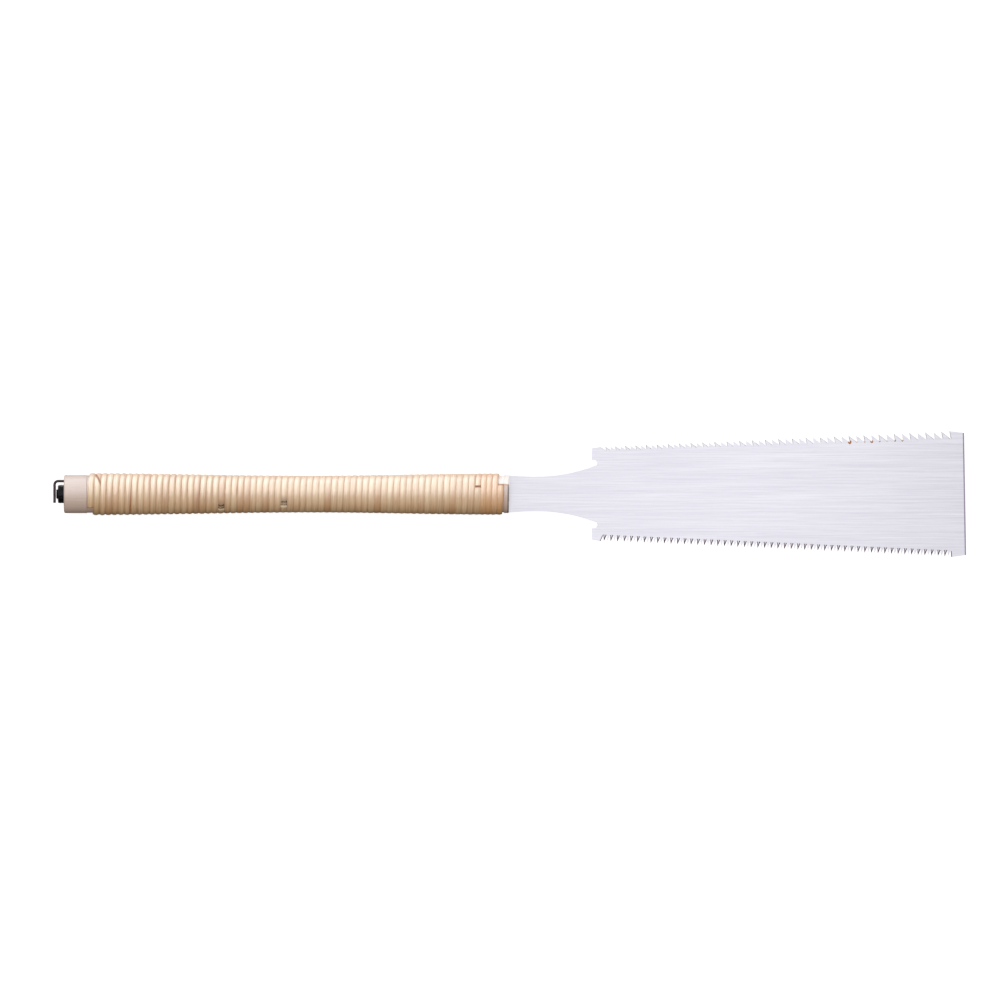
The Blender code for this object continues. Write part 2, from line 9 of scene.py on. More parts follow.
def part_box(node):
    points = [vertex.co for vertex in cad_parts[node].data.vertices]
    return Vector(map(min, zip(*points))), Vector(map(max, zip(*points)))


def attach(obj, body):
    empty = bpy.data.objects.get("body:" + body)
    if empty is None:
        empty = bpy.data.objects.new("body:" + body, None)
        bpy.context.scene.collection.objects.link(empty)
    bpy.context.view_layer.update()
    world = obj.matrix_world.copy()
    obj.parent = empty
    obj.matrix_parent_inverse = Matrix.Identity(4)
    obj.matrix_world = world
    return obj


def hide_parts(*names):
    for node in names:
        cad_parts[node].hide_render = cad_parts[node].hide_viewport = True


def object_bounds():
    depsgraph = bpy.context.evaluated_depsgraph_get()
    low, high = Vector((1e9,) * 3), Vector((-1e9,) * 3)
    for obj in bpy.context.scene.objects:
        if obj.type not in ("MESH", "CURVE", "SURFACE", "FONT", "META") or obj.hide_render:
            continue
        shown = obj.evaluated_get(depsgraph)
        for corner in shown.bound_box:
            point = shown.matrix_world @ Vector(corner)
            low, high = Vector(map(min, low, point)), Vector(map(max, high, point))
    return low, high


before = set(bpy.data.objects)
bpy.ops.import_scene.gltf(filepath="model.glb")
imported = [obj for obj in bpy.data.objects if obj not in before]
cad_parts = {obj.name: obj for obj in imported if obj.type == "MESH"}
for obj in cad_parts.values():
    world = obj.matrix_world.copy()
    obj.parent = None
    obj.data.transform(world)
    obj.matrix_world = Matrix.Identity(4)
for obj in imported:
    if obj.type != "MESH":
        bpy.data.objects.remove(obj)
cadLow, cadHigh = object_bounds()  # the CAD box, before anything is dressed
scene = bpy.context.scene
mm = 0.001

coreLow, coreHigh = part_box("handle_core_upper")
rodLow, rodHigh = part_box("draw_rod")
nutLow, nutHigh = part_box("butt_nut")
keyLow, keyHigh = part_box("hex_key")
mouthX = coreHigh.x  # lengths are counted from the mouth of the handle, as the blade is pulled out of it
buttAt = coreLow.x - mouthX
axisZ = (rodLow.z + rodHigh.z) / 2  # height of the saw's axis over the floor
toSaw = Matrix.Translation((mouthX, 0, axisZ))
fit = 0.25 * mm  # running gap between pieces
farOff = 9.0  # turns of cane, further than any mark reaches
print("frame loaded, axis", round(axisZ / mm, 2), "mm over the floor")


def srgb(text):  # sRGB hex to linear
    parts = [int(text[i:i + 2], 16) / 255 for i in (1, 3, 5)]
    return (*[p / 12.92 if p <= 0.04045 else ((p + 0.055) / 1.055) ** 2.4 for p in parts], 1.0)


def addNode(tree, kind, inputs=None, **settings):  # gives back the node's first output
    node = tree.nodes.new(kind if "Node" in kind else "ShaderNode" + kind)
    for key, value in settings.items():
        setattr(node, key, value)
    for key, value in (inputs or {}).items():
        sockets = [s for s in node.inputs if s.enabled]
        socket = sockets[key] if isinstance(key, int) else next(s for s in sockets if s.name == key)
        if isinstance(value, bpy.types.NodeSocket):
            tree.links.new(value, socket)
        else:
            socket.default_value = value
    return next((o for o in node.outputs if o.enabled), None)


def setStops(rampOut, stops):  # colour stops as (place, hex)
    points = rampOut.node.color_ramp.elements
    points[0].position, points[0].color = stops[0][0], srgb(stops[0][1])
    points[1].position, points[1].color = stops[-1][0], srgb(stops[-1][1])
    for place, text in stops[1:-1]:
        points.new(place).color = srgb(text)
    return rampOut


def newMaterial(name, roughness, metallic=0.0):
    material = bpy.data.materials.new(name)
    material.use_nodes = True
    shader = material.node_tree.nodes["Principled BSDF"]
    shader.inputs["Roughness"].default_value = roughness
    shader.inputs["Metallic"].default_value = metallic
    return material, partial(addNode, material.node_tree), shader


def plug(shader, outputs):
    for name, output in outputs.items():
        shader.id_data.links.new(output, shader.inputs[name])


def streaks(add, place, size, detail, roughness=0.5):  # noise drawn out to a size along each axis
    scaled = add("Mapping", {"Vector": place, "Scale": [1 / length for length in size]})
    return add("TexNoise", {"Vector": scaled, "Scale": 1.0, "Detail": detail, "Roughness": roughness})


# strength up to full, nothing past none
def nearTo(add, value, middle, full, none, strength=1.0, fade="LINEAR"):
    away = add("Math", {0: value, 1: middle}, operation="SUBTRACT")
    away = add("Math", {0: away}, operation="ABSOLUTE")
    return add("MapRange", {"Value": away, "From Min": full, "From Max": none, "To Min": strength,
                            "To Max": 0.0}, interpolation_type=fade)


def dress(name, mesh, body, nodes, smooth=30):  # a finished mesh becomes a piece of the saw
    piece = bpy.data.objects.new(name, mesh)
    scene.collection.objects.link(piece)
    if smooth:
        mesh.shade_smooth()
        mesh.set_sharp_from_angle(angle=math.radians(smooth))
    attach(piece, body)
    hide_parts(*nodes)
    return piece


def toMesh(name, bm, place=toSaw, material=None, weld=0.001 * mm):
    bmesh.ops.remove_doubles(bm, verts=bm.verts[:], dist=weld)
    bmesh.ops.recalc_face_normals(bm, faces=bm.faces[:])
    bm.transform(place)
    mesh = bpy.data.meshes.new(name)
    bm.to_mesh(mesh)
    bm.free()
    if material:
        mesh.materials.append(material)
    return mesh


def skin(rings, caps=True):  # joins rows of points into one closed skin
    bm = bmesh.new()
    rows = [[bm.verts.new(p) for p in ring] for ring in rings]
    for near, far in zip(rows, rows[1:]):
        for i in range(len(near)):
            j = (i + 1) % len(near)
            bm.faces.new((near[i], near[j], far[j], far[i]))
    if caps:
        bm.faces.new(rows[0])
        bm.faces.new(rows[-1])
    return bm


def turned(profile, sides=72):  # (distance along X, radius) spun round X
    bm = bmesh.new()
    points = [bm.verts.new((x, r, 0)) for x, r in profile]
    edges = [bm.edges.new(pair) for pair in zip(points, points[1:])]
    if profile[0][1] > 0:
        edges.append(bm.edges.new((points[-1], points[0])))
    bmesh.ops.spin(bm, geom=points + edges, cent=(0, 0, 0), axis=(1, 0, 0), angle=2 * math.pi, steps=sides,
                   use_merge=True)
    return bm


def bar(start, end, radius, sides=72, chamfer=0.0):
    ends = [(start, 0), (start, radius - chamfer), (end, radius - chamfer), (end, 0)]
    if chamfer:
        ends[2:2] = [(start + chamfer, radius), (end - chamfer, radius)]
    return turned(ends, sides)


def hexagon(start, end, flats):  # a flat faces +Y
    corner = flats / math.sqrt(3)
    turns = [math.radians(30 + 60 * i) for i in range(6)]
    return skin([[(x, corner * math.cos(a), corner * math.sin(a)) for a in turns] for x in (start, end)])


def block(low, high):
    bm = bmesh.new()
    bmesh.ops.create_cube(bm, size=1.0)
    bmesh.ops.scale(bm, vec=Vector(high) - Vector(low), verts=bm.verts[:])
    bmesh.ops.translate(bm, vec=(Vector(high) + Vector(low)) / 2, verts=bm.verts[:])
    return bm


def carved(mesh, cuts):  # cuts are (mesh, operation); gives back a plain mesh
    blank = bpy.data.objects.new("blank", mesh)
    scene.collection.objects.link(blank)
    tools = []
    for tool, operation in cuts:
        cutter = bpy.data.objects.new("cutter", tool)
        scene.collection.objects.link(cutter)
        step = blank.modifiers.new("cut", "BOOLEAN")
        step.operation, step.object, step.solver = operation, cutter, "EXACT"
        tools.append(cutter)
    made = bpy.data.meshes.new_from_object(blank.evaluated_get(bpy.context.evaluated_depsgraph_get()))
    for item in [blank, *tools]:
        bpy.data.objects.remove(item, do_unlink=True)
    return made


# Rattan cane, split and peeled: a glossy cream skin over straw fibres, each turn a little warmer or paler
cane = {
    "thickness": 1.4 * mm, "gap": 0.03 * mm, "lift": (0.55 * mm, 0.25 * mm), "turnLength": 86 * mm,
    "seatRear": (28.9 * mm, 24.7 * mm), "seatWaist": (24.8 * mm, 21.4 * mm),
    "seatFront": (28.2 * mm, 24.7 * mm),
    "seatRearAt": buttAt + 17.9 * mm, "waistAt": -155 * mm, "seatFrontAt": -3.9 * mm,
    "cadGap": 0.47 * mm, "buttGap": 0.24 * mm, "scarf": -0.055, "scarfTurns": 0.3, "scarfShift": 0.05,
    "scarfLean": 10.0, "startAngle": math.radians(133), "rearPitch": 4.85 * mm, "rearTurns": 1.208,
    "mainPitch": 4.81 * mm, "frontPitch": 4.34 * mm, "frontTurns": 4.018,
    "stepsPerTurn": 48, "profilePoints": 20, "wall": 0.46, "flatterFront": 0.45,
    "rearSeed": 3.0, "mainSeed": 17.0, "frontSeed": 91.0,
    "flatFrom": 52.0, "flatTo": 71.0,  # turns along the cane, counted from its seed
    "fibre": (34 * mm, 1.1 * mm, 1.0), "stain": (16 * mm, 1.1 * mm, 1.0),
    "scarGap": 1.1 * mm, "scarWander": 0.7 * mm, "paleGap": 3.1 * mm,
    "ringHeight": 0.22 * mm, "ringReach": 0.2,
    # places on the cane: distance from the mouth, degrees from the rip side over the top
    "knuckles": [(-219.5 * mm, 131.5), (-171.2 * mm, 120.0), (-262 * mm, 262), (-88 * mm, 238)],
    # then half the length, the middle and half the width across the strip, and the strength
    "bruises": [(-294.5 * mm, 124, 19 * mm, 0.85, 0.5, 1.0), (-209.7 * mm, 78, 6 * mm, 0.7, 0.4, 0.7),
                (-240.5 * mm, 100, 26 * mm, 0.2, 1.8, 0.6), (-263 * mm, 96, 22 * mm, 0.0, 1.8, 0.3),
                (-120 * mm, 255, 30 * mm, -0.3, 1.2, 0.4)],
}


def caneMaterial(name, stops, bruises=()):
    material, add, shader = newMaterial(name, 0.4)
    shader.inputs["Specular IOR Level"].default_value = 0.9
    shader.inputs["Coat Roughness"].default_value = 0.45
    shader.inputs["Coat IOR"].default_value = 1.6
    turn, across, rise, endGap, knuckle = (
        add("Attribute", attribute_name=key).node.outputs["Fac"]
        for key in ("turnAt", "across", "rise", "endGap", "knuckleGap"))
    length = add("Math", {0: turn, 1: cane["turnLength"]}, operation="MULTIPLY")
    side = add("Math", {0: across, 1: cane["mainPitch"] / 2}, operation="MULTIPLY")
    spot = add("CombineXYZ", {"X": length, "Y": side, "Z": rise})
    tone = add("TexNoise", {"W": turn, "Scale": 0.9, "Detail": 2.0, "Roughness": 0.6},
               noise_dimensions="1D")
    colour = setStops(add("ValToRGB", {"Fac": tone}), stops)
    layers = []  # (share, colour), laid over one another in this order

    # fibres are about 0.3 mm apart, drawn 1.1 mm apart so that they show
    fibre = streaks(add, spot, cane["fibre"], 3.0, 0.6)
    streak = add("MapRange", {"Value": fibre, "From Min": 0.42, "From Max": 0.66, "To Max": 0.65})
    layers.append((streak, "#BC8C62"))
    rare = streaks(add, spot, cane["stain"], 1.0)
    stain = add("MapRange", {"Value": rare, "From Min": 0.66, "From Max": 0.8, "To Max": 0.6})
    layers.append((stain, "#A9683C"))

    for middle, reach, centre, width, mark in bruises:
        for value, place, size in ((turn, middle, reach), (across, centre, width)):
            near = nearTo(add, value, place, 0.0, size, fade="SMOOTHSTEP")
            mark = add("Math", {0: near, 1: mark}, operation="MULTIPLY")
        layers.append((mark, "#A5591A"))

    # painted shade in the valleys between turns, less of it among the flatter turns to the front
    valleyShadeStrength = add("MapRange", {"Value": turn, "From Min": cane["flatFrom"], "From Max": cane["flatTo"],
                            "To Min": 0.38, "To Max": 0.18})
    paintedValleyShade = add("MapRange", {"Value": rise, "From Min": cane["wall"], "From Max": 0.85, "To Min": valleyShadeStrength,
                              "To Max": 0.0})
    layers.append((paintedValleyShade, "#9A6B3A"))

    # a joint is shaded on one side, pale on the other, with two dark scars between
    above = add("Math", {0: knuckle, 1: 0.0}, operation="GREATER_THAN")
    shade = add("MapRange", {"Value": knuckle, "From Min": 1.2 * mm, "From Max": 6.5 * mm, "To Min": 0.85,
                             "To Max": 0.0})
    shade = add("Math", {0: shade, 1: above}, operation="MULTIPLY")
    layers.append((shade, "#8A6238"))
    layers.append((nearTo(add, knuckle, -cane["paleGap"], 0.5 * mm, 1.2 * mm, 0.8), "#FFF0D0"))
    wander = add("MapRange", {"Value": fibre, "From Min": 0.3, "From Max": 0.7,
                              "To Min": -cane["scarWander"], "To Max": cane["scarWander"]})
    scar = add("Math", {0: knuckle, 1: wander}, operation="ADD")
    scar = add("Math", {0: scar}, operation="ABSOLUTE")
    scar = nearTo(add, scar, cane["scarGap"], 0.4 * mm, 0.75 * mm, 0.95)
    worn = add("MapRange", {"Value": rare, "From Min": 0.4, "From Max": 0.62, "To Min": 1.0,
                            "To Max": 0.45})
    scar = add("Math", {0: scar, 1: worn}, operation="MULTIPLY")
    layers.append((scar, "#3E2410"))
    # ends browned by the knife
    cut = add("MapRange", {"Value": endGap, "From Min": 0.45 * mm, "From Max": 1.2 * mm, "To Min": 0.9,
                           "To Max": 0.0})
    layers.append((cut, "#A8622A"))
    for share, text in layers:
        colour = add("Mix", {"Factor": share, "A": colour, "B": srgb(text)}, data_type="RGBA")

    bare = add("Math", {0: cut, 1: scar}, operation="MAXIMUM")  # no glossy skin left
    skinLeft = add("MapRange", {"Value": bare, "To Min": 0.7, "To Max": 0.0})
    rough = add("MapRange", {"Value": fibre, "To Min": 0.38, "To Max": 0.62})
    rough = add("Math", {0: rough, 1: bare}, operation="MAXIMUM")
    bump = add("Bump", {"Strength": 0.35, "Distance": 0.08 * mm, "Height": fibre})
    plug(shader, {"Base Color": colour, "Coat Weight": skinLeft, "Roughness": rough, "Normal": bump})
    return material


def windingTree():  # a straight strip of cane, bent round the waisted oval of the handle
    tree = bpy.data.node_groups.new("caneWinding", "GeometryNodeTree")
    names = ["Turns", "Pitch", "Start X", "Start angle", "Width", "Seed", "Start scarf", "End scarf",
             "Knuckle 1", "Knuckle 2", "Knuckle 3", "Knuckle 4"]
    for name in names:
        tree.interface.new_socket(name, in_out="INPUT", socket_type="NodeSocketFloat")
    tree.interface.new_socket("Material", in_out="INPUT", socket_type="NodeSocketMaterial")
    tree.interface.new_socket("Geometry", in_out="OUTPUT", socket_type="NodeSocketGeometry")
    given = tree.nodes.new("NodeGroupInput").outputs
    add = partial(addNode, tree)

    # the strip's line, one unit for each turn, and its crowned section
    count = add("Math", {0: given["Turns"], 1: cane["stepsPerTurn"]}, operation="MULTIPLY")
    end = add("CombineXYZ", {"X": given["Turns"]})
    line = add("GeometryNodeCurvePrimitiveLine", {"End": end})
    line = add("GeometryNodeResampleCurve", {"Curve": line, "Count": count})
    spot = add("SeparateXYZ", {0: add("GeometryNodeInputPosition")}).node.outputs
    line = add("GeometryNodeStoreNamedAttribute", {"Geometry": line, "Name": "turnAt", "Value": spot["X"]})
    section = add("GeometryNodeCurvePrimitiveCircle", {"Resolution": cane["profilePoints"], "Radius": 1.0})
    # points stand half a step off the axis, so that both edges are upright
    step = math.pi / cane["profilePoints"]
    swung = add("Math", {0: add("GeometryNodeInputIndex"), 1: 2 * step, 2: step}, operation="MULTIPLY_ADD")
    edge = add("Math", {0: swung}, operation="COSINE")
    edge = add("Math", {0: edge, 1: math.cos(step)}, operation="DIVIDE")
    over = add("Math", {0: swung}, operation="SINE")
    upper = add("Math", {0: over, 1: 0.0}, operation="GREATER_THAN")
    crown = add("Math", {0: edge, 1: math.pi / 2}, operation="MULTIPLY")
    crown = add("Math", {0: crown}, operation="COSINE")
    crown = add("MapRange", {"Value": crown, "To Min": cane["wall"]})
    crown = add("Math", {0: crown, 1: upper}, operation="MULTIPLY")
    section = add("GeometryNodeStoreNamedAttribute", {"Geometry": section, "Name": "across", "Value": edge})
    section = add("GeometryNodeStoreNamedAttribute", {"Geometry": section, "Name": "rise", "Value": crown})
    strip = add("GeometryNodeCurveToMesh", {"Curve": line, "Profile Curve": section, "Fill Caps": True})

    turn, across, rise = (
        add("GeometryNodeInputNamedAttribute", {"Name": key}) for key in ("turnAt", "across", "rise"))
    # a slanted cut slides the edges of the strip along it, less and less away from the cut
    left = add("Math", {0: given["Turns"], 1: turn}, operation="SUBTRACT")
    slant = 0.0
    nearest = farOff
    for away, name in ((turn, "Start scarf"), (left, "End scarf")):
        square = add("Math", {0: given[name], 1: cane["scarfLean"], 2: 1.0}, operation="MULTIPLY_ADD")
        square = add("Math", {0: square, 1: away}, operation="MULTIPLY")  # straight off the cut
        nearest = add("Math", {0: square, 1: nearest}, operation="MINIMUM")
        fade = add("MapRange", {"Value": away, "From Min": 0.0, "From Max": cane["scarfTurns"],
                                "To Min": 1.0, "To Max": 0.0}, interpolation_type="SMOOTHSTEP")
        slide = add("Math", {0: fade, 1: given[name]}, operation="MULTIPLY")
        slant = add("Math", {0: slide, 1: slant}, operation="ADD")
    turn = add("Math", {0: across, 1: slant, 2: turn}, operation="MULTIPLY_ADD")
    # hand-wound cane is never quite even
    drift = add("Math", {0: turn, 1: given["Seed"]}, operation="ADD")
    lump = add("TexNoise", {"W": drift, "Scale": 2.2, "Detail": 1.0}, noise_dimensions="1D")
    lump = add("MapRange", {"Value": lump, "From Min": 0.25, "From Max": 0.75, "To Min": 0.94,
                            "To Max": 1.0})
    half = add("Math", {0: given["Width"], 1: 0.5}, operation="MULTIPLY")
    offset = add("Math", {0: across, 1: half}, operation="MULTIPLY")
    along = add("Math", {0: turn, 1: given["Pitch"], 2: given["Start X"]}, operation="MULTIPLY_ADD")
    along = add("Math", {0: along, 1: offset}, operation="ADD")

    halves = []
    for i in range(2):  # half width, then half thickness, swelling from the waist to both ends
        waist = cane["seatWaist"][i] / 2
        rear = add("MapRange", {
            "Value": along, "From Min": cane["waistAt"], "From Max": cane["seatRearAt"],
            "To Min": waist + cane["lift"][i], "To Max": cane["seatRear"][i] / 2 + cane["lift"][i]},
            interpolation_type="SMOOTHSTEP")
        front = add("MapRange", {
            "Value": along, "From Min": cane["waistAt"], "From Max": cane["seatFrontAt"], "To Min": 0.0,
            "To Max": cane["seatFront"][i] / 2 - waist}, interpolation_type="SMOOTHSTEP")
        halves.append(add("Math", {0: rear, 1: front}, operation="ADD"))

    angle = add("Math", {0: turn, 1: -2 * math.pi, 2: given["Start angle"]}, operation="MULTIPLY_ADD")
    cosine = add("Math", {0: angle}, operation="COSINE")
    sine = add("Math", {0: angle}, operation="SINE")
    seatY = add("Math", {0: cosine, 1: halves[0]}, operation="MULTIPLY")
    seatZ = add("Math", {0: sine, 1: halves[1]}, operation="MULTIPLY")
    seat = add("CombineXYZ", {"X": along, "Y": seatY, "Z": seatZ})
    outY = add("Math", {0: cosine, 1: halves[0]}, operation="DIVIDE")
    outZ = add("Math", {0: sine, 1: halves[1]}, operation="DIVIDE")
    out = add("CombineXYZ", {"Y": outY, "Z": outZ})
    out = add("VectorMath", {0: out}, operation="NORMALIZE")
    flatter = add("MapRange", {"Value": along, "From Min": 0.75 * buttAt, "From Max": 0.5 * buttAt,
                               "To Min": 1.0, "To Max": cane["flatterFront"]})
    height = add("Math", {0: rise, 1: flatter}, operation="POWER")  # thinner cane further on
    height = add("Math", {0: height, 1: lump}, operation="MULTIPLY")
    height = add("Math", {0: height, 1: cane["thickness"]}, operation="MULTIPLY")

    # each joint of the cane stands up as a low ring
    gap = cane["ringReach"]  # in turns, a distance at which nothing shows
    for name in names[-4:]:
        away = add("Math", {0: turn, 1: given[name]}, operation="SUBTRACT")
        size = add("Math", {0: away}, operation="ABSOLUTE")
        close = add("Math", {0: size, 1: cane["ringReach"]}, operation="LESS_THAN")
        gap = add("Mix", {"Factor": close, "A": gap, "B": away}, data_type="FLOAT")
    gap = add("Math", {0: gap, 1: cane["turnLength"]}, operation="MULTIPLY")
    ring = nearTo(add, gap, 0.0, 0.4 * mm, 2.6 * mm, cane["ringHeight"], "SMOOTHSTEP")
    ring = add("Math", {0: ring, 1: rise}, operation="MULTIPLY")
    height = add("Math", {0: height, 1: ring}, operation="ADD")

    lifted = add("VectorMath", {0: out, "Scale": height}, operation="SCALE")
    place = add("VectorMath", {0: seat, 1: lifted}, operation="ADD")
    place = add("VectorMath", {0: place, 1: toSaw.translation}, operation="ADD")
    place = add("VectorMath", {0: place, 1: (-1, -1, 0)}, operation="MAXIMUM")  # flat on the floor
    place = add("VectorMath", {0: place, 1: (1, 1, cadHigh.z)}, operation="MINIMUM")
    wound = add("GeometryNodeSetPosition", {"Geometry": strip, "Position": place})

    nearest = add("Math", {0: nearest, 1: cane["turnLength"]}, operation="MULTIPLY")
    shifted = add("Math", {0: turn, 1: given["Seed"]}, operation="ADD")
    for key, value in (("endGap", nearest), ("knuckleGap", gap), ("turnAt", shifted)):
        wound = add("GeometryNodeStoreNamedAttribute", {"Geometry": wound, "Name": key, "Value": value})
    wound = add("GeometryNodeRealizeInstances", {"Geometry": wound})
    wound = add("GeometryNodeSetMaterial", {"Geometry": wound, "Material": given["Material"]})
    add("NodeGroupOutput", {"Geometry": wound})
    return tree


def windCane():
    rearAt = cane["seatRearAt"] + fit + (cane["rearPitch"] - cane["cadGap"]) / 2
    frontEndAt = cane["seatFrontAt"] - fit - (cane["frontPitch"] - cane["cadGap"]) / 2
    mainAt = rearAt + cane["rearTurns"] * cane["rearPitch"]
    mainEndAt = frontEndAt - cane["frontTurns"] * cane["frontPitch"]
    mainTurns = (mainEndAt - mainAt) / cane["mainPitch"]
    mainAngle = cane["startAngle"] - 2 * math.pi * cane["rearTurns"]
    frontAngle = mainAngle - 2 * math.pi * mainTurns
    cut = cane["buttGap"] / cane["turnLength"]  # in turns, shared by the two ends of a joint
    shift = cane["scarfShift"]

    def turnOf(distance, degrees):  # where a place on the handle falls along the main length
        part = (mainAngle - math.radians(degrees)) / (2 * math.pi)
        return part + round((distance - mainAt) / cane["mainPitch"] - part) - cut / 2 - shift

    knuckleTurns = [turnOf(*place) for place in cane["knuckles"]]
    none = [-farOff] * len(knuckleTurns)
    bruises = [
        (turnOf(distance, degrees) + cane["mainSeed"], size / cane["turnLength"], *rest)
        for distance, degrees, size, *rest in cane["bruises"]]

    cream = caneMaterial("peeledRattanMain", [(0.28, "#D19F6E"), (0.4, "#DCB183"), (0.52, "#E1BA8C"),
                                              (0.64, "#E4C194"), (0.76, "#DCAB7D")], bruises)
    pale = caneMaterial("peeledRattanRear", [(0.3, "#D3AC79"), (0.5, "#DAB786"), (0.7, "#DFBF94")])
    warm = caneMaterial("peeledRattanFront", [(0.3, "#DBA369"), (0.5, "#E0AA74"), (0.7, "#E5B382")])
    tree = windingTree()
    lengths = {
        "rear": (rearAt, cane["startAngle"], cane["rearTurns"] - cut / 2 + shift,
                 (0.0, cane["scarf"]), none, pale),
        "main": (mainAt + (cut / 2 + shift) * cane["mainPitch"], mainAngle - math.pi * (cut + 2 * shift),
                 mainTurns - cut - shift, (cane["scarf"], 0.0), knuckleTurns, cream),
        "front": (mainEndAt + cut / 2 * cane["frontPitch"], frontAngle - math.pi * cut,
                  cane["frontTurns"] - cut / 2, (0.0, 0.0), none, warm),
    }
    for part, (start, angle, turns, scarfs, knuckles, material) in lengths.items():
        name, pitch = "rattan_" + part, cane[part + "Pitch"]
        holder = bpy.data.objects.new(name + "_path", bpy.data.meshes.new(name))
        scene.collection.objects.link(holder)
        winding = holder.modifiers.new("winding", "NODES")
        winding.node_group = tree
        values = {"Turns": turns, "Pitch": pitch, "Start X": start, "Start angle": angle,
                  "Width": pitch - cane["gap"], "Seed": cane[part + "Seed"], "Start scarf": scarfs[0],
                  "End scarf": scarfs[1], "Material": material}
        values.update({f"Knuckle {i + 1}": t for i, t in enumerate(knuckles)})
        for item in tree.interface.items_tree:
            if item.in_out == "INPUT":
                winding[item.identifier] = values[item.name]
        wound = holder.evaluated_get(bpy.context.evaluated_depsgraph_get())
        mesh = bpy.data.meshes.new_from_object(wound)
        bpy.data.objects.remove(holder, do_unlink=True)
        bm = bmesh.new()
        bm.from_mesh(mesh)
        if bm.calc_volume(signed=True) < 0:
            bmesh.ops.reverse_faces(bm, faces=bm.faces[:])
        bm.to_mesh(mesh)
        bm.free()
        mesh.name = name
        dress(name, mesh, "handle", ["rattan_binding_" + part], smooth=60)
        print(name, "wound,", round(turns, 2), "turns,", len(mesh.polygons), "faces")


windCane()


# Bare sanded cypress: pale pinkish wood with fine straight grain, stained by glue at the mouth, with
# painted shade in the rim and a painted highlight on the upper rip side at the front
wood = {
    "buttWidth": 29.5 * mm, "buttThickness": 25.4 * mm,
    "mouthWidth": 29.3 * mm, "mouthThickness": 25.4 * mm,
    "buttRound": 1.2 * mm, "mouthRound": 0.5 * mm, "shoulder": 0.4 * mm,
    "glueLine": 0.1 * mm, "ringSpacing": 1.7 * mm, "halfRing": 40, "seatSteps": 40, "roundSteps": 6,
    "sleeveRadius": 8.75 * mm, "sleeveRear": -52.25 * mm, "mouthWall": 12 * mm,
    "chuckFront": -20 * mm, "chuckRear": -64 * mm, "chuckRadius": 6.1 * mm,
    "slitWidth": 11.7 * mm, "slitHeight": 1.2 * mm,
    "glueScarY": 7.2 * mm, "glueScarWidth": 0.8 * mm, "glueWander": (2.5 * mm, 0.6 * mm),
    "rimShadeWidth": 1.3 * mm, "endSkin": 0.08 * mm, "grain": (18 * mm, 0.6 * mm, 0.6 * mm),
    "heart": (0, 60 * mm, 45 * mm),
}


def woodMaterial():
    material, add, shader = newMaterial("sandedCypress", 0.6)
    shader.inputs["Specular IOR Level"].default_value = 0.8
    place = add("TexCoord").node.outputs["Object"]
    pith = add("Mapping", {"Vector": place, "Location": wood["heart"]})  # the log's heart is off the handle
    rings = add("TexWave", {"Vector": pith, "Scale": math.pi / 10 / wood["ringSpacing"], "Distortion": 1.2,
                            "Detail": 2.0, "Detail Scale": 0.6}, wave_type="RINGS", rings_direction="X",
                wave_profile="SAW").node.outputs["Fac"]
    # the wood's fibres are well under 0.1 mm wide, drawn 0.6 mm wide so that they show
    grain = streaks(add, place, wood["grain"], 4.0, 0.6)
    mixed = add("Math", {0: rings, 1: 0.06, 2: grain}, operation="MULTIPLY_ADD")
    stops = [(0.3, "#C6A999"), (0.55, "#CDB2A2"), (0.8, "#D5BDAE")]
    colour = setStops(add("ValToRGB", {"Fac": mixed}), stops)

    # glue squeezed out beside the cane's last end, and painted shade in the rim where the blade goes in
    axes = add("SeparateXYZ", {"Vector": place}).node.outputs
    front = add("Math", {0: axes["X"], 1: mouthX + cane["seatFrontAt"] - cane["frontPitch"]},
                operation="GREATER_THAN")
    above = add("Math", {0: axes["Z"], 1: axisZ}, operation="GREATER_THAN")
    wander = add("TexNoise", {"W": axes["X"], "Scale": 1 / wood["glueWander"][0], "Detail": 1.0},
                 noise_dimensions="1D")
    path = add("MapRange", {"Value": wander, "To Min": wood["glueScarY"] - wood["glueWander"][1],
                            "To Max": wood["glueScarY"] + wood["glueWander"][1]})
    scar = nearTo(add, axes["Y"], path, wood["glueScarWidth"] / 3, wood["glueScarWidth"], 0.85)
    upperFront = add("Math", {0: above, 1: front}, operation="MULTIPLY")
    outside = add("Math", {0: axes["X"], 1: mouthX - wood["endSkin"]}, operation="LESS_THAN")
    upperFront = add("Math", {0: upperFront, 1: outside}, operation="MULTIPLY")
    # painted highlight: the upper rip side of the wood at the front, past the glue line, is painted
    # near-white where it faces the lamps
    paintedLitWood = add("Math", {0: axes["Y"], 1: path}, operation="GREATER_THAN")
    paintedLitWood = add("Math", {0: paintedLitWood, 1: upperFront}, operation="MULTIPLY")
    paintedLitWood = add("Math", {0: paintedLitWood, 1: 0.85}, operation="MULTIPLY")  # painted highlight: near-white past the glue line
    scar = add("Math", {0: scar, 1: upperFront}, operation="MULTIPLY")
    # painted shade: a dark band along the mouth rim, below the glue line, where the gap to the blade lies
    # in shadow
    paintedRimShade = add("MapRange", {"Value": axes["X"], "From Min": mouthX - wood["rimShadeWidth"],
                           "From Max": mouthX - wood["rimShadeWidth"] / 2, "To Max": 0.9})
    lower = add("Math", {0: axes["Y"], 1: wood["glueScarY"]}, operation="LESS_THAN")
    paintedRimShade = add("Math", {0: paintedRimShade, 1: lower}, operation="MULTIPLY")
    paintedRimShade = add("Math", {0: paintedRimShade, 1: outside}, operation="MULTIPLY")
    for share, text in ((paintedLitWood, "#FFF6EF"), (scar, "#B0622E"), (paintedRimShade, "#3A2A22")):
        colour = add("Mix", {"Factor": share, "A": colour, "B": srgb(text)}, data_type="RGBA")
    rough = add("MapRange", {"Value": grain, "To Min": 0.45, "To Max": 0.6})
    bump = add("Bump", {"Strength": 0.25, "Distance": 0.06 * mm, "Height": grain})
    plug(shader, {"Base Color": colour, "Roughness": rough, "Normal": bump})
    return material


def smoothSwell(x, start, end):
    t = min(max((x - start) / (end - start), 0), 1)
    return t * t * (3 - 2 * t)


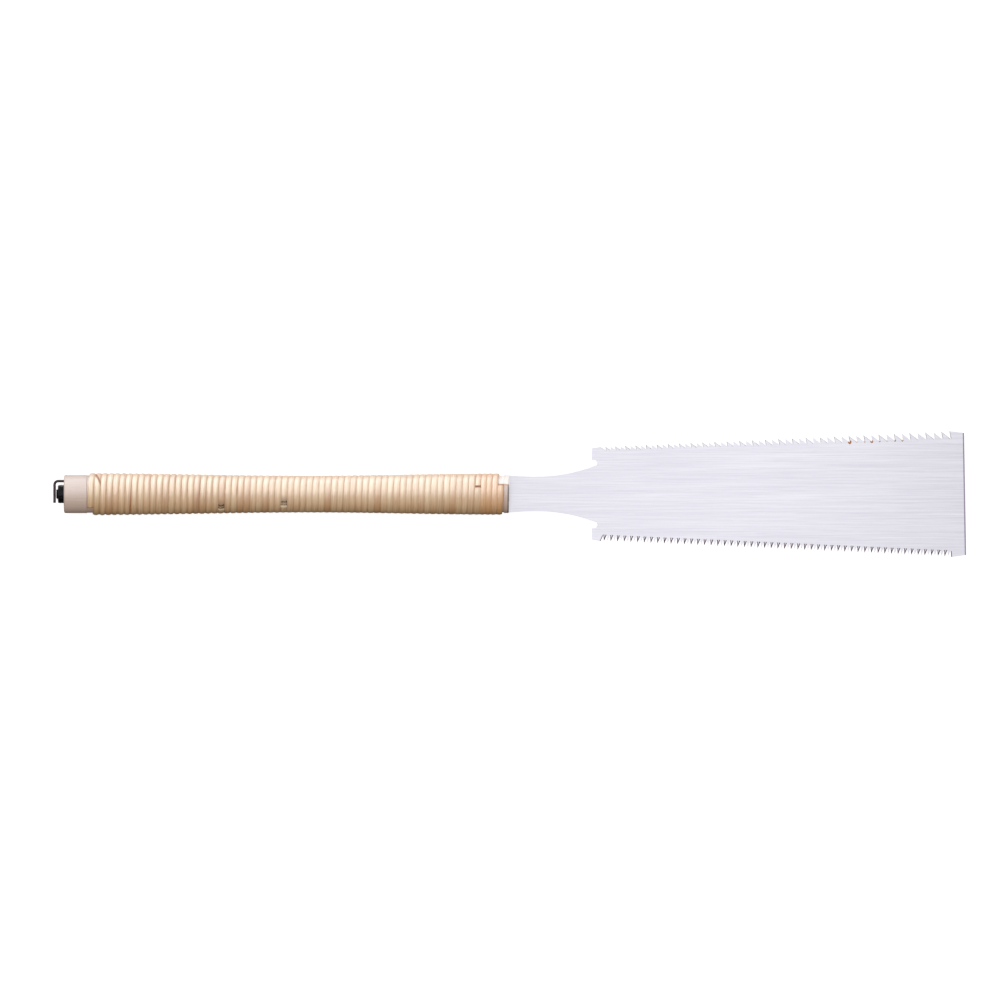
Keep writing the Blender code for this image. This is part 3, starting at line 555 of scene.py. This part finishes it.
def seatHalf(x, i):
    rear = smoothSwell(x, cane["waistAt"], cane["seatRearAt"])
    front = smoothSwell(x, cane["waistAt"], cane["seatFrontAt"])
    waist = cane["seatWaist"][i]
    return (waist + (cane["seatRear"][i] - waist) * rear + (cane["seatFront"][i] - waist) * front) / 2


def coreRings(side):
    butt = (wood["buttWidth"] / 2, wood["buttThickness"] / 2)
    mouth = (wood["mouthWidth"] / 2, wood["mouthThickness"] / 2)
    quarter = [math.pi / 2 * i / wood["roundSteps"] for i in range(wood["roundSteps"] + 1)]
    stations = []
    for a in quarter:
        drop = wood["buttRound"] * (1 - math.sin(a))
        stations.append((buttAt + wood["buttRound"] * (1 - math.cos(a)), butt[0] - drop, butt[1] - drop))
    stations.append((cane["seatRearAt"] - wood["shoulder"], *butt))
    for i in range(wood["seatSteps"] + 1):
        x = cane["seatRearAt"] + (cane["seatFrontAt"] - cane["seatRearAt"]) * i / wood["seatSteps"]
        stations.append((x, seatHalf(x, 0), seatHalf(x, 1)))
    stations.append((cane["seatFrontAt"] + wood["shoulder"], *mouth))
    for a in quarter:
        drop = wood["mouthRound"] * (1 - math.cos(a))
        stations.append((-wood["mouthRound"] * (1 - math.sin(a)), mouth[0] - drop, mouth[1] - drop))
    line = wood["glueLine"] / 2
    arc = [math.pi * i / wood["halfRing"] for i in range(wood["halfRing"] + 1)]
    return [
        [(x, w * math.cos(a), side * (line + (t - line) * math.sin(a))) for a in arc]
        for x, w, t in stations]


keyFlats = 2 * mm
keyAt = keyHigh.y - keyFlats / 2  # the parked stem's centre is half its flats inside the key's box
lockScrew = {"diameter": 4 * mm, "sink": 0.2 * mm, "socket": 1.2 * mm, "chamfer": 0.25 * mm, "sides": 40,
             "turn": math.radians(128.9)}
nut = {"flats": 13 * mm, "height": nutHigh.x - nutLow.x, "outerAt": nutLow.x - mouthX, "faceStep": 0.2 * mm,
       "chamfer": math.radians(30), "countersink": 0.5 * mm, "sides": 96}
rod = {"radius": 4 * mm, "pitch": 1.25 * mm, "threadDepth": 0.6 * mm, "threadLength": 32 * mm,
       "chamfer": 0.7 * mm, "endAt": rodLow.x - mouthX, "frontAt": rodHigh.x - mouthX, "sides": 48,
       "pointsPerPitch": 8, "flank": 2.5}
washer = {"thickness": 1.6 * mm, "chamfer": 0.2 * mm, "margin": 0.2 * mm}
key = {"flats": keyFlats, "bend": 2.8 * mm, "arm": keyAt - keyLow.y, "bendSteps": 18, "bevel": 0.12 * mm,
       "cornerHalf": 7, "holeSides": 32}
washerRadius = nut["flats"] / math.sqrt(3) + washer["margin"]
washerAt = nut["outerAt"] + nut["height"] + fit


def makeCore():
    material = woodMaterial()
    past = 30 * mm  # how far a cutter reaches out of the wood
    floorAt = washerAt + washer["thickness"] + fit
    keyEnd = keyHigh.x - mouthX + fit
    cutters = [
        bar(buttAt - past, wood["chuckRear"], rod["radius"] + fit),
        bar(buttAt - past, floorAt, washerRadius + fit),
        bar(wood["chuckRear"] - fit, wood["chuckFront"], wood["chuckRadius"] + fit),
        bar(wood["sleeveRear"] - fit, -wood["mouthWall"], wood["sleeveRadius"] + fit),
        block((wood["chuckFront"], -wood["slitWidth"] / 2, -wood["slitHeight"] / 2),
              (past, wood["slitWidth"] / 2, wood["slitHeight"] / 2)),
    ]
    keyHole = bar(buttAt - past, keyEnd, key["flats"] / math.sqrt(3) + fit, sides=key["holeSides"])
    bmesh.ops.translate(keyHole, vec=(0, keyAt, 0), verts=keyHole.verts[:])
    tools = [toMesh("coreCut", bm) for bm in [*cutters, keyHole]]
    for name, side in (("core_upper", 1), ("core_lower", -1)):
        blank = toMesh(name, skin(coreRings(side)), material=material)
        made = carved(blank, [(tool, "DIFFERENCE") for tool in tools])
        made.name = name
        dress(name, made, "handle", ["handle_" + name], smooth=32)
    print("core carved")


makeCore()


# Steel blacked in a hot salt bath: near-black with a faint violet cast, oiled, a little uneven
def blackOxide(name, stops):
    material, add, shader = newMaterial(name, 0.42, 0.75)
    place = add("TexCoord").node.outputs["Object"]
    patches = add("TexNoise", {"Vector": place, "Scale": 1 / (2.2 * mm), "Detail": 4.0})
    colour = setStops(add("ValToRGB", {"Fac": patches}), stops)
    rough = add("MapRange", {"Value": patches, "To Min": 0.3, "To Max": 0.58})
    # the bath's own grain is a few hundredths of a millimetre, drawn 0.25 mm so that it shows
    grit = add("TexNoise", {"Vector": place, "Scale": 1 / (0.25 * mm), "Detail": 2.0})
    bump = add("Bump", {"Strength": 0.12, "Distance": 0.03 * mm, "Height": grit})
    plug(shader, {"Base Color": colour, "Roughness": rough, "Normal": bump})
    return material


# Bright zinc over turned steel: bluish grey, softly mottled
def zincPlate():
    material, add, shader = newMaterial("zincPlatedSteel", 0.38, 1.0)
    place = add("TexCoord").node.outputs["Object"]
    mottle = add("TexNoise", {"Vector": place, "Scale": 1 / (3 * mm), "Detail": 3.0})
    stops = [(0.3, "#A9ABB0"), (0.55, "#BDBFC4"), (0.75, "#CDCED1")]
    colour = setStops(add("ValToRGB", {"Fac": mottle}), stops)
    rough = add("MapRange", {"Value": mottle, "To Min": 0.3, "To Max": 0.5})
    plug(shader, {"Base Color": colour, "Roughness": rough})
    return material


blackSteel = blackOxide("blackOxideSteel", [(0.3, "#1B1A1E"), (0.55, "#29272C"), (0.78, "#3B373D")])
handledSteel = blackOxide("handledBlackSteel", [(0.3, "#493D42"), (0.55, "#5C4F55"), (0.78, "#75676E")])
zincSteel = zincPlate()


def makeRod():  # a turned bar whose rear end carries the thread
    steps = round(rod["threadLength"] / rod["pitch"] * rod["pointsPerPitch"])
    around = [2 * math.pi * j / rod["sides"] for j in range(rod["sides"])]
    rings = []
    for i in range(steps + 1):
        into = rod["threadLength"] * i / steps
        runOut = min(1.0, (rod["threadLength"] - into) / (2 * rod["pitch"]))
        lead = min(0.0, into - rod["chamfer"])
        ring = []
        for a in around:
            phase = (into / rod["pitch"] + a / (2 * math.pi)) % 1.0
            groove = min(1.0, rod["flank"] * (0.5 - abs(phase - 0.5)))
            r = min(rod["radius"] - rod["threadDepth"] * groove * runOut, rod["radius"] + lead)
            ring.append((rod["endAt"] + into, r * math.cos(a), r * math.sin(a)))
        rings.append(ring)
    front, edge = rod["frontAt"], rod["chamfer"]
    for x, r in ((front - edge, rod["radius"]), (front, rod["radius"] - edge)):
        rings.append([(x, r * math.cos(a), r * math.sin(a)) for a in around])
    mesh = toMesh("draw_bar", skin(rings), material=blackSteel)
    dress("draw_bar", mesh, "draw", ["draw_rod"])
    print("rod threaded")


def makeNut():
    middle = nut["outerAt"] + nut["height"] / 2
    half = nut["height"] / 2
    face = nut["flats"] / 2 - nut["faceStep"]
    blankRadius = nut["flats"] / math.sqrt(3) + nut["faceStep"]
    chamfer = (blankRadius - face) * math.tan(nut["chamfer"])
    place = toSaw @ Matrix.Translation((middle, 0, 0)) @ Matrix.Rotation(lockScrew["turn"], 4, "X")
    blank = turned([(-half, 0), (-half, face), (chamfer - half, blankRadius), (half - chamfer, blankRadius),
                    (half, face), (half, 0)], nut["sides"])
    bore = rod["radius"] + fit
    flareAt = half - nut["countersink"]
    flare = bore + nut["countersink"] + half
    boreTool = turned([(-nut["height"], 0), (-nut["height"], flare), (-flareAt, bore), (flareAt, bore),
                       (nut["height"], flare), (nut["height"], 0)])
    across = Matrix.Rotation(math.pi / 2, 4, "Z")  # a bar along X is turned to the flat's own +Y
    screwRadius = lockScrew["diameter"] / 2
    hole = bar(0, nut["flats"], screwRadius + fit, lockScrew["sides"])
    mesh = carved(toMesh("nut", blank, place, blackSteel), [
        (toMesh("flats", hexagon(-nut["height"], nut["height"], nut["flats"]), place), "INTERSECT"),
        (toMesh("bore", boreTool, place), "DIFFERENCE"),
        (toMesh("hole", hole, place @ across), "DIFFERENCE")])
    mesh.name = "butt_nut_body"
    dress("butt_nut_body", mesh, "nut", ["butt_nut"])

    top = nut["flats"] / 2 - lockScrew["sink"]
    screw = bar(bore, top, screwRadius, lockScrew["sides"], lockScrew["chamfer"])
    socket = hexagon(top - lockScrew["socket"], nut["flats"], key["flats"] + fit)
    socket = toMesh("socket", socket, place @ across)
    mesh = carved(toMesh("screw", screw, place @ across, blackSteel), [(socket, "DIFFERENCE")])
    mesh.name = "lock_screw"
    dress("lock_screw", mesh, "lock", ["nut_lock_screw"])

    edge = washer["chamfer"]
    far = washerAt + washer["thickness"]
    ring = turned([(washerAt, bore), (washerAt, washerRadius - edge), (washerAt + edge, washerRadius),
                   (far, washerRadius), (far, bore)])
    dress("nut_washer", toMesh("nut_washer", ring, material=zincSteel), "handle", ["butt_washer"])
    print("nut, lock screw and washer made")


def makeKey():  # hexagon wire, bent once, its ends ground square
    corner = key["flats"] / math.sqrt(3)
    tip = keyHigh.x - mouthX
    armX = keyLow.x - mouthX + key["flats"] / 2
    bendX = armX + key["bend"]
    path = [(tip, 0, math.pi / 2), (tip - key["bevel"], 0, math.pi / 2)]
    for i in range(key["bendSteps"] + 1):
        a = math.pi / 2 * (1 + i / key["bendSteps"])
        path.append((bendX + key["bend"] * math.cos(a), key["bend"] * (math.sin(a) - 1), a))
    path += [(armX, key["bevel"] - key["arm"], math.pi), (armX, -key["arm"], math.pi)]
    rings = []
    for i, (x, y, a) in enumerate(path):
        size = corner - (key["bevel"] if i in (0, len(path) - 1) else 0)
        size *= math.cos(math.radians(30)) / math.cos(math.radians(30 - key["cornerHalf"]))
        ring = []
        for j in range(6):  # each corner of the wire is two points, so that its edge catches light
            for lean in (-key["cornerHalf"], key["cornerHalf"]):
                turn = math.radians(30 + 60 * j + lean)
                out = size * math.cos(turn)
                ring.append((x + out * math.cos(a), keyAt + y + out * math.sin(a), size * math.sin(turn)))
        rings.append(ring)
    dress("hex_key_wire", toMesh("hex_key_wire", skin(rings), material=handledSteel), "key", ["hex_key"],
          smooth=20)
    print("key bent")


makeRod()
makeNut()
makeKey()
for name in ("throat_sleeve", "draw_chuck", "tang_pin", "rod_pin"):
    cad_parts[name].data.materials.clear()
    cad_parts[name].data.materials.append(zincSteel)


# The blade plate, ground lengthwise on both faces
blade = {
    "thickness": 0.7 * mm, "shoulder": 29.0 * mm, "waist": 26.8 * mm, "waistAt": 21.0 * mm,
    "heelAt": 64.0 * mm, "heelWidth": 70.8 * mm, "heelLand": 6.8 * mm, "notchRadius": 2.3 * mm,
    "notchDepth": 4.3 * mm, "notchSpread": 47.6 * mm, "toeLand": 11.2 * mm, "toeDrop": 1.4 * mm,
    "toeSkew": 0.8 * mm,
    "toothedLength": 270.0 * mm, "firstWidth": 72.8 * mm, "lastWidth": 97.2 * mm, "set": 0.15 * mm,
    "ripPitch": (3.75 * mm, 6.3 * mm), "ripDepth": (2.8 * mm, 5.9 * mm), "ripRake": math.radians(11),
    "ripGullet": 0.4 * mm, "ripBevel": 0.3 * mm,
    "crossPitch": 2.58 * mm, "crossDepth": 4.6 * mm, "crossBack": 0.35 * mm, "crossGullet": 0.3 * mm,
    "crossBevel": 0.65 * mm,
    "tangWidth": 11.2 * mm, "tangLength": 44.0 * mm, "pinAt": 30.0 * mm, "pinDiameter": 4.0 * mm,
    "toeGrind": 1.05 * mm, "toeGrindDrop": 0.22 * mm, "bevelRun": 0.8 * mm, "rustGrain": 1.2 * mm,
    "arcSteps": 28, "neckSteps": 40, "scratch": (80 * mm, 1.5 * mm, 1.0), "band": (160 * mm, 9 * mm, 1.0),
    # how far rust has spread from some gullets of the rip edge
    "rust": {39: 1.5 * mm, 40: 0.6 * mm, 41: 0.7 * mm, 42: 1.3 * mm, 43: 0.7 * mm, 44: 0.7 * mm,
             45: 0.9 * mm, 46: 0.9 * mm},
}
teethAt = blade["heelAt"] + blade["heelLand"]
teethEnd = teethAt + blade["toothedLength"]
toeAt = teethEnd + blade["toeLand"]


# Spring steel sheet, belt-ground lengthwise: bright, faintly violet, with fine straight scratches
def groundSteel(name, stops, roughness, metallic=1.0, rustSpots=()):
    material, add, shader = newMaterial(name, roughness, metallic)
    place = add("TexCoord").node.outputs["Object"]
    # scratches are about 0.1 mm apart, drawn 1.5 mm apart so that they show
    scratch = streaks(add, place, blade["scratch"], 4.0, 0.8)
    band = streaks(add, place, blade["band"], 1.0)
    mixed = add("Math", {0: band, 1: 0.2, 2: scratch}, operation="MULTIPLY_ADD")
    colour = setStops(add("ValToRGB", {"Fac": mixed}), stops)
    rough = add("MapRange", {"Value": scratch, "To Min": roughness - 0.07, "To Max": roughness + 0.1})
    bump = add("Bump", {"Strength": 0.1, "Distance": 0.02 * mm, "Height": scratch})

    if rustSpots:
        within = -1.0  # metres inside the nearest patch of rust
        for spot, reach in rustSpots:
            away = add("VectorMath", {0: place, 1: toSaw @ spot}, operation="DISTANCE")
            left = add("Math", {0: reach, 1: away.node.outputs["Value"]}, operation="SUBTRACT")
            within = add("Math", {0: left, 1: within}, operation="MAXIMUM")
        ragged = add("TexNoise", {"Vector": place, "Scale": 1 / blade["rustGrain"], "Detail": 2.0})
        within = add("Math", {0: ragged, 1: 1.0 * mm, 2: within}, operation="MULTIPLY_ADD")
        within = add("Math", {0: within, 1: 0.5 * mm}, operation="SUBTRACT")
        rust = add("MapRange", {"Value": within, "From Min": 0.0, "From Max": 0.35 * mm})
        colour = add("Mix", {"Factor": rust, "A": colour, "B": srgb("#B4692B")}, data_type="RGBA")
        dull = add("MapRange", {"Value": rust, "To Min": metallic, "To Max": 0.0})
        plug(shader, {"Metallic": dull})
    plug(shader, {"Base Color": colour, "Roughness": rough, "Normal": bump})
    return material


def tipLine(x):
    share = (x - teethAt) / blade["toothedLength"]
    return (blade["firstWidth"] + (blade["lastWidth"] - blade["firstWidth"]) * share) / 2


def flat(points):
    half = blade["thickness"] / 2
    return [(Vector((x, y, half)), Vector((x, y, -half)), "edge") for x, y in points]


def landEnd(points, bevel, finish):  # a plain land is ground like a tooth where it meets the row
    inset = Vector((bevel, 0, 0))
    return [(up + inset, down, finish + "Land") for up, down, _ in flat([p.xy for p in points])]


def toothRow(side, pitches, depths, tipShift, gullet, bevel, finish):
    def depthAt(x):
        return depths[0] + (depths[1] - depths[0]) * (x - teethAt) / blade["toothedLength"]

    def root(x):
        return Vector((x, side * (tipLine(x) - depthAt(x)), 0))

    def tipOver(x):
        tipX = x + tipShift(depthAt(x))
        return Vector((tipX, side * tipLine(tipX), 0))

    half = blade["thickness"] / 2
    start = teethAt + pitches[0] - gullet / 2 - tipShift(depths[0])
    length = teethEnd - start
    count = round(2 * length / sum(pitches))
    steps = [pitches[0] + (pitches[1] - pitches[0]) * i / (count - 1) for i in range(count)]
    heel = Vector((teethAt, side * blade["firstWidth"] / 2, 0))
    row = landEnd([heel, root(start - gullet / 2)], -bevel, finish)
    begin = start
    for i, step in enumerate(steps):
        end = begin + step * length / sum(steps)
        near, far = root(begin + gullet / 2), root(end - gullet / 2)
        middle = (near + far) / 2
        share = 1 - 2 * bevel / (far.x - near.x)
        lean = 1 if i % 2 else -1
        for point, rise in ((near, 0), (tipOver(near.x), 1), (far, 0)):
            full = point + Vector((0, 0, lean * (half + blade["set"] * rise)))
            inset = middle + (point - middle) * share
            inset.z = lean * (blade["set"] * rise * share - half)
            if not rise:
                # the grindstone runs past the gullet
                inset.y -= side * blade["bevelRun"] * bevel / blade["crossBevel"]
            pair = (full, inset) if lean > 0 else (inset, full)
            row.append((*pair, finish + ("Tip" if rise else "Root")))
        begin = end
    land = root(teethEnd + gullet / 2)
    return row + landEnd([land, tipOver(land.x)], bevel, finish)


def arcPoints(centre, radius, first, last, steps):
    turns = [first + (last - first) * i / steps for i in range(steps + 1)]
    return [(centre[0] + radius * math.cos(a), centre[1] + radius * math.sin(a)) for a in turns]


def bladeSide():  # heel, notch, neck and half the forked tang, on the rip side
    notchX = blade["heelAt"] + blade["notchDepth"] - blade["notchRadius"]
    notchY = blade["notchSpread"] / 2
    points = [(blade["heelAt"], blade["heelWidth"] / 2), (blade["heelAt"], notchY + blade["notchRadius"])]
    points += arcPoints((notchX, notchY), blade["notchRadius"], math.pi / 2, -math.pi / 2,
                        blade["arcSteps"])
    waist = blade["waist"] / 2
    for i in range(1, blade["neckSteps"] + 1):
        t = 1 - i / blade["neckSteps"]
        points.append((blade["waistAt"] + (notchX - blade["waistAt"]) * t,
                       waist + (notchY - blade["notchRadius"] - waist) * t ** 2))
    for i in range(1, blade["neckSteps"] // 2 + 1):
        t = 2 * i / blade["neckSteps"]
        points.append((blade["waistAt"] + (fit - blade["waistAt"]) * t,
                       waist + (blade["shoulder"] / 2 - waist) * t ** 2))
    fork = blade["pinDiameter"] / 2 + fit
    tang = blade["tangWidth"] / 2
    points += [(fit, tang), (-blade["tangLength"], tang), (-blade["tangLength"], fork)]
    return points + arcPoints((-blade["pinAt"], 0), fork, math.pi / 2, 0, blade["arcSteps"] // 2)


def makeBlade():
    rip = toothRow(1, blade["ripPitch"], blade["ripDepth"],
                   lambda depth: -depth * math.tan(blade["ripRake"]), blade["ripGullet"], blade["ripBevel"],
                   "rip")
    cross = toothRow(-1, (blade["crossPitch"],) * 2, (blade["crossDepth"],) * 2,
                     lambda depth: blade["crossBack"], blade["crossGullet"], blade["crossBevel"], "cross")
    side = bladeSide()
    otherSide = [(x, -y) for x, y in reversed(side[:-1])]
    toeHalf = blade["lastWidth"] / 2 - blade["toeDrop"]
    drop = Vector((0, 0, blade["toeGrindDrop"]))
    toe = []
    # the toe is ground to a dull edge across the blade
    for ySign, land in ((-1, cross[-1][0]), (1, rip[-1][0])):
        corner = Vector((toeAt - ySign * blade["toeSkew"], ySign * toeHalf, 0))
        back = corner.lerp(Vector((land.x, land.y, 0)), blade["toeGrind"] / (corner.x - land.x))
        up, down, _ = flat([corner.xy])[0]
        toe.append((flat([back.xy])[0], (up - drop, down + drop, "toe")))
    outline = (flat(side + otherSide) + cross + [toe[0][0], toe[0][1], toe[1][1], toe[1][0]] + rip[::-1])

    bm = bmesh.new()
    upper = [bm.verts.new(entry[0]) for entry in outline]
    lower = [bm.verts.new(entry[1]) for entry in outline]
    kinds = [entry[2] for entry in outline]
    toeStart = kinds.index("toe")
    for face in (upper, lower):
        bm.faces.new([p for p, kind in zip(face, kinds) if kind != "toe" and not kind.endswith("Tip")])
        for i, kind in enumerate(kinds):
            if kind.endswith("Tip"):
                bm.faces.new((face[i - 1], face[i], face[i + 1]))
        bm.faces.new([face[toeStart + k] for k in (-1, 0, 1, 2)]).material_index = 2
    walls = {"crossRoot crossTip": 1, "crossLand": 1, "toe": 2, "ripRoot ripTip": 3, "ripLand": 3}
    for i, kind in enumerate(kinds):
        wall = bm.faces.new((upper[i - 1], upper[i], lower[i], lower[i - 1]))
        wall.material_index = walls.get(" ".join(sorted({kind, kinds[i - 1]})), 0)
    mesh = toMesh("blade_plate", bm)
    gullets = [(a[0] + b[0]) / 2 for a, b in zip(rip, rip[1:]) if a[2] == b[2] == "ripRoot"]
    rustSpots = [(gullets[i], reach) for i, reach in blade["rust"].items()]
    plate = [(0.45, "#DAD8E2"), (0.65, "#E7E6EF"), (0.85, "#F3F2F8")]
    # purple from the hardening of the tips
    heated = [(0.45, "#775B6C"), (0.75, "#8A6E80"), (1.0, "#9D8394")]
    toeEdge = [(0.45, "#A195AC"), (0.75, "#AFA4B9"), (1.0, "#BBB1C4")]  # duller, ground across the plate
    filed = [(0.45, "#B4B0BA"), (0.75, "#C0BCC6"), (1.0, "#CCC9D2")]  # grey and matt from the file
    mesh.materials.append(groundSteel("groundBladeSteel", plate, 0.3, rustSpots=rustSpots))
    mesh.materials.append(groundSteel("hardenedToothBevel", heated, 0.45, 0.3))
    mesh.materials.append(groundSteel("groundToeEdge", toeEdge, 0.4))
    mesh.materials.append(groundSteel("filedRipBevel", filed, 0.36, 0.6))
    dress("blade_plate", mesh, "blade", ["blade"], smooth=0)
    print("blade cut,", len(rip), "and", len(cross), "outline points in its rows")


makeBlade()


# Studio: a light table under a sky that is brightest overhead, a lamp over the handle, a softbox
# over the blade, and two panels on the rip side that give the cane and the wood their sheen
studio = {
    "floorRadius": 30.0, "wallHeight": 30.0, "floorSides": 64, "floorColour": "#F4F3F2", "floorGlow": 0.7,
    "topPlace": (-0.3, 0.2, 1.48), "topAim": (-0.2, 0, 0), "topSize": (1.6, 0.8), "topPower": 3.85,
    "lowPlace": (-0.7, 1.3, 0.25), "lowAim": (-0.15, 0, 0), "lowSize": (2.4, 1.25), "lowPower": 60.0,
    "highPlace": (-0.45, 0.72, 1.42), "highAim": (-0.15, 0, 0), "highSize": (2.2, 1.5), "highPower": 47.0,
    "boxPlace": (0.15, 0.06, 1.0), "boxAim": (0.15, 0, 0), "boxSize": (0.4, 0.6), "boxPower": 0.3,
    "panelColour": "#E6F4FF",
    "skyTop": 0.83, "skyFar": 0.32, "skyNear": 0.01, "skyBelowFar": 1.3, "skyBelow": 0.01,
}


def makeLamp(name, place, aim, size, power):
    lamp = bpy.data.lights.new(name, "AREA")
    lamp.shape, lamp.energy = "RECTANGLE", power
    lamp.size, lamp.size_y = size
    holder = bpy.data.objects.new(name, lamp)
    scene.collection.objects.link(holder)
    holder.location = place
    holder.rotation_mode = "QUATERNION"
    holder.rotation_quaternion = (Vector(aim) - Vector(place)).to_track_quat("-Z", "Y")
    holder.visible_camera = False
    return holder


def makeStudio():
    radius, sides = studio["floorRadius"], studio["floorSides"]
    turns = [2 * math.pi * i / sides for i in range(sides)]
    heights = (0, studio["wallHeight"])
    rings = [[(radius * math.cos(a), radius * math.sin(a), z) for a in turns] for z in heights]
    bm = skin(rings, caps=False)
    bm.verts.ensure_lookup_table()
    bm.faces.new(bm.verts[:sides])
    floor = bpy.data.objects.new("floor", toMesh("floor", bm, Matrix.Identity(4)))
    scene.collection.objects.link(floor)
    material, _, shader = newMaterial("opalLightTable", 0.9)
    shader.inputs["Base Color"].default_value = srgb(studio["floorColour"])
    shader.inputs["Specular IOR Level"].default_value = 0.1
    shader.inputs["Emission Color"].default_value = srgb(studio["floorColour"])
    shader.inputs["Emission Strength"].default_value = studio["floorGlow"]
    floor.data.materials.append(material)
    floor.visible_diffuse = False  # it doesn't light the saw from below
    floor.visible_glossy = False
    floor.visible_shadow = False
    handle = ("rattan_rear", "rattan_main", "rattan_front", "core_upper", "core_lower")
    for key, pieces in (("top", ()), ("low", handle), ("high", handle), ("box", ("blade_plate",))):
        lamp = makeLamp(key, *[studio[key + part] for part in ("Place", "Aim", "Size", "Power")])
        lamp.visible_diffuse = key == "top"
        lamp.visible_glossy = key != "top"
        if pieces == handle:
            # a cool gel keeps the gloss on the cane white
            lamp.data.color = srgb(studio["panelColour"])[:3]
        if pieces:
            lit = bpy.data.collections.new(key + "Lit")
            for name in pieces:
                lit.objects.link(bpy.data.objects[name])
            lamp.light_linking.receiver_collection = lit

    world = bpy.data.worlds.new("studio")
    scene.world = world
    world.use_nodes = True
    add = partial(addNode, world.node_tree)
    background = world.node_tree.nodes["Background"]
    toSky = add("TexCoord").node.outputs["Generated"]
    axes = add("SeparateXYZ", {"Vector": toSky}).node.outputs
    side = add("MapRange", {"Value": axes["Y"], "From Min": -0.7, "From Max": 0.7,
                            "To Min": studio["skyNear"], "To Max": studio["skyFar"]})
    rise = add("MapRange", {"Value": axes["Z"], "From Min": 0.1, "From Max": 0.9},
               interpolation_type="SMOOTHSTEP")
    glow = add("Mix", {"Factor": rise, "A": side, "B": studio["skyTop"]}, data_type="FLOAT")
    above = add("MapRange", {"Value": axes["Z"], "From Min": -0.1, "From Max": 0.1})
    below = add("MapRange", {"Value": axes["Y"], "From Min": -0.2, "From Max": 0.7,
                             "To Min": studio["skyBelow"], "To Max": studio["skyBelowFar"]})
    glow = add("Mix", {"Factor": above, "A": below, "B": glow}, data_type="FLOAT")
    plug(background, {"Strength": glow})
    background.inputs["Color"].default_value = (1, 1, 1, 1)


makeStudio()

# Camera straight over the saw, as in the photograph of 1000 by 1000 pixels
photo = {"size": 1000, "mmPerPixel": 0.7714, "mouthPixel": 508.8, "axisPixel": 494.0, "lens": 500,
         "sensor": 36, "clipNear": 0.05, "clipFar": 50}
scaleOf = photo["mmPerPixel"] * mm
lens = bpy.data.cameras.new("photoCamera")
lens.lens, lens.sensor_width = photo["lens"], photo["sensor"]
lens.clip_start, lens.clip_end = photo["clipNear"], photo["clipFar"]
camera = bpy.data.objects.new("photoCamera", lens)
scene.collection.objects.link(camera)
reach = photo["size"] * scaleOf * photo["lens"] / photo["sensor"]
camera.location = (mouthX + (photo["size"] / 2 - photo["mouthPixel"]) * scaleOf,
                   (photo["axisPixel"] - photo["size"] / 2) * scaleOf, axisZ + reach)
scene.camera = camera
scene.view_settings.view_transform = "Standard"
print("studio and camera set")
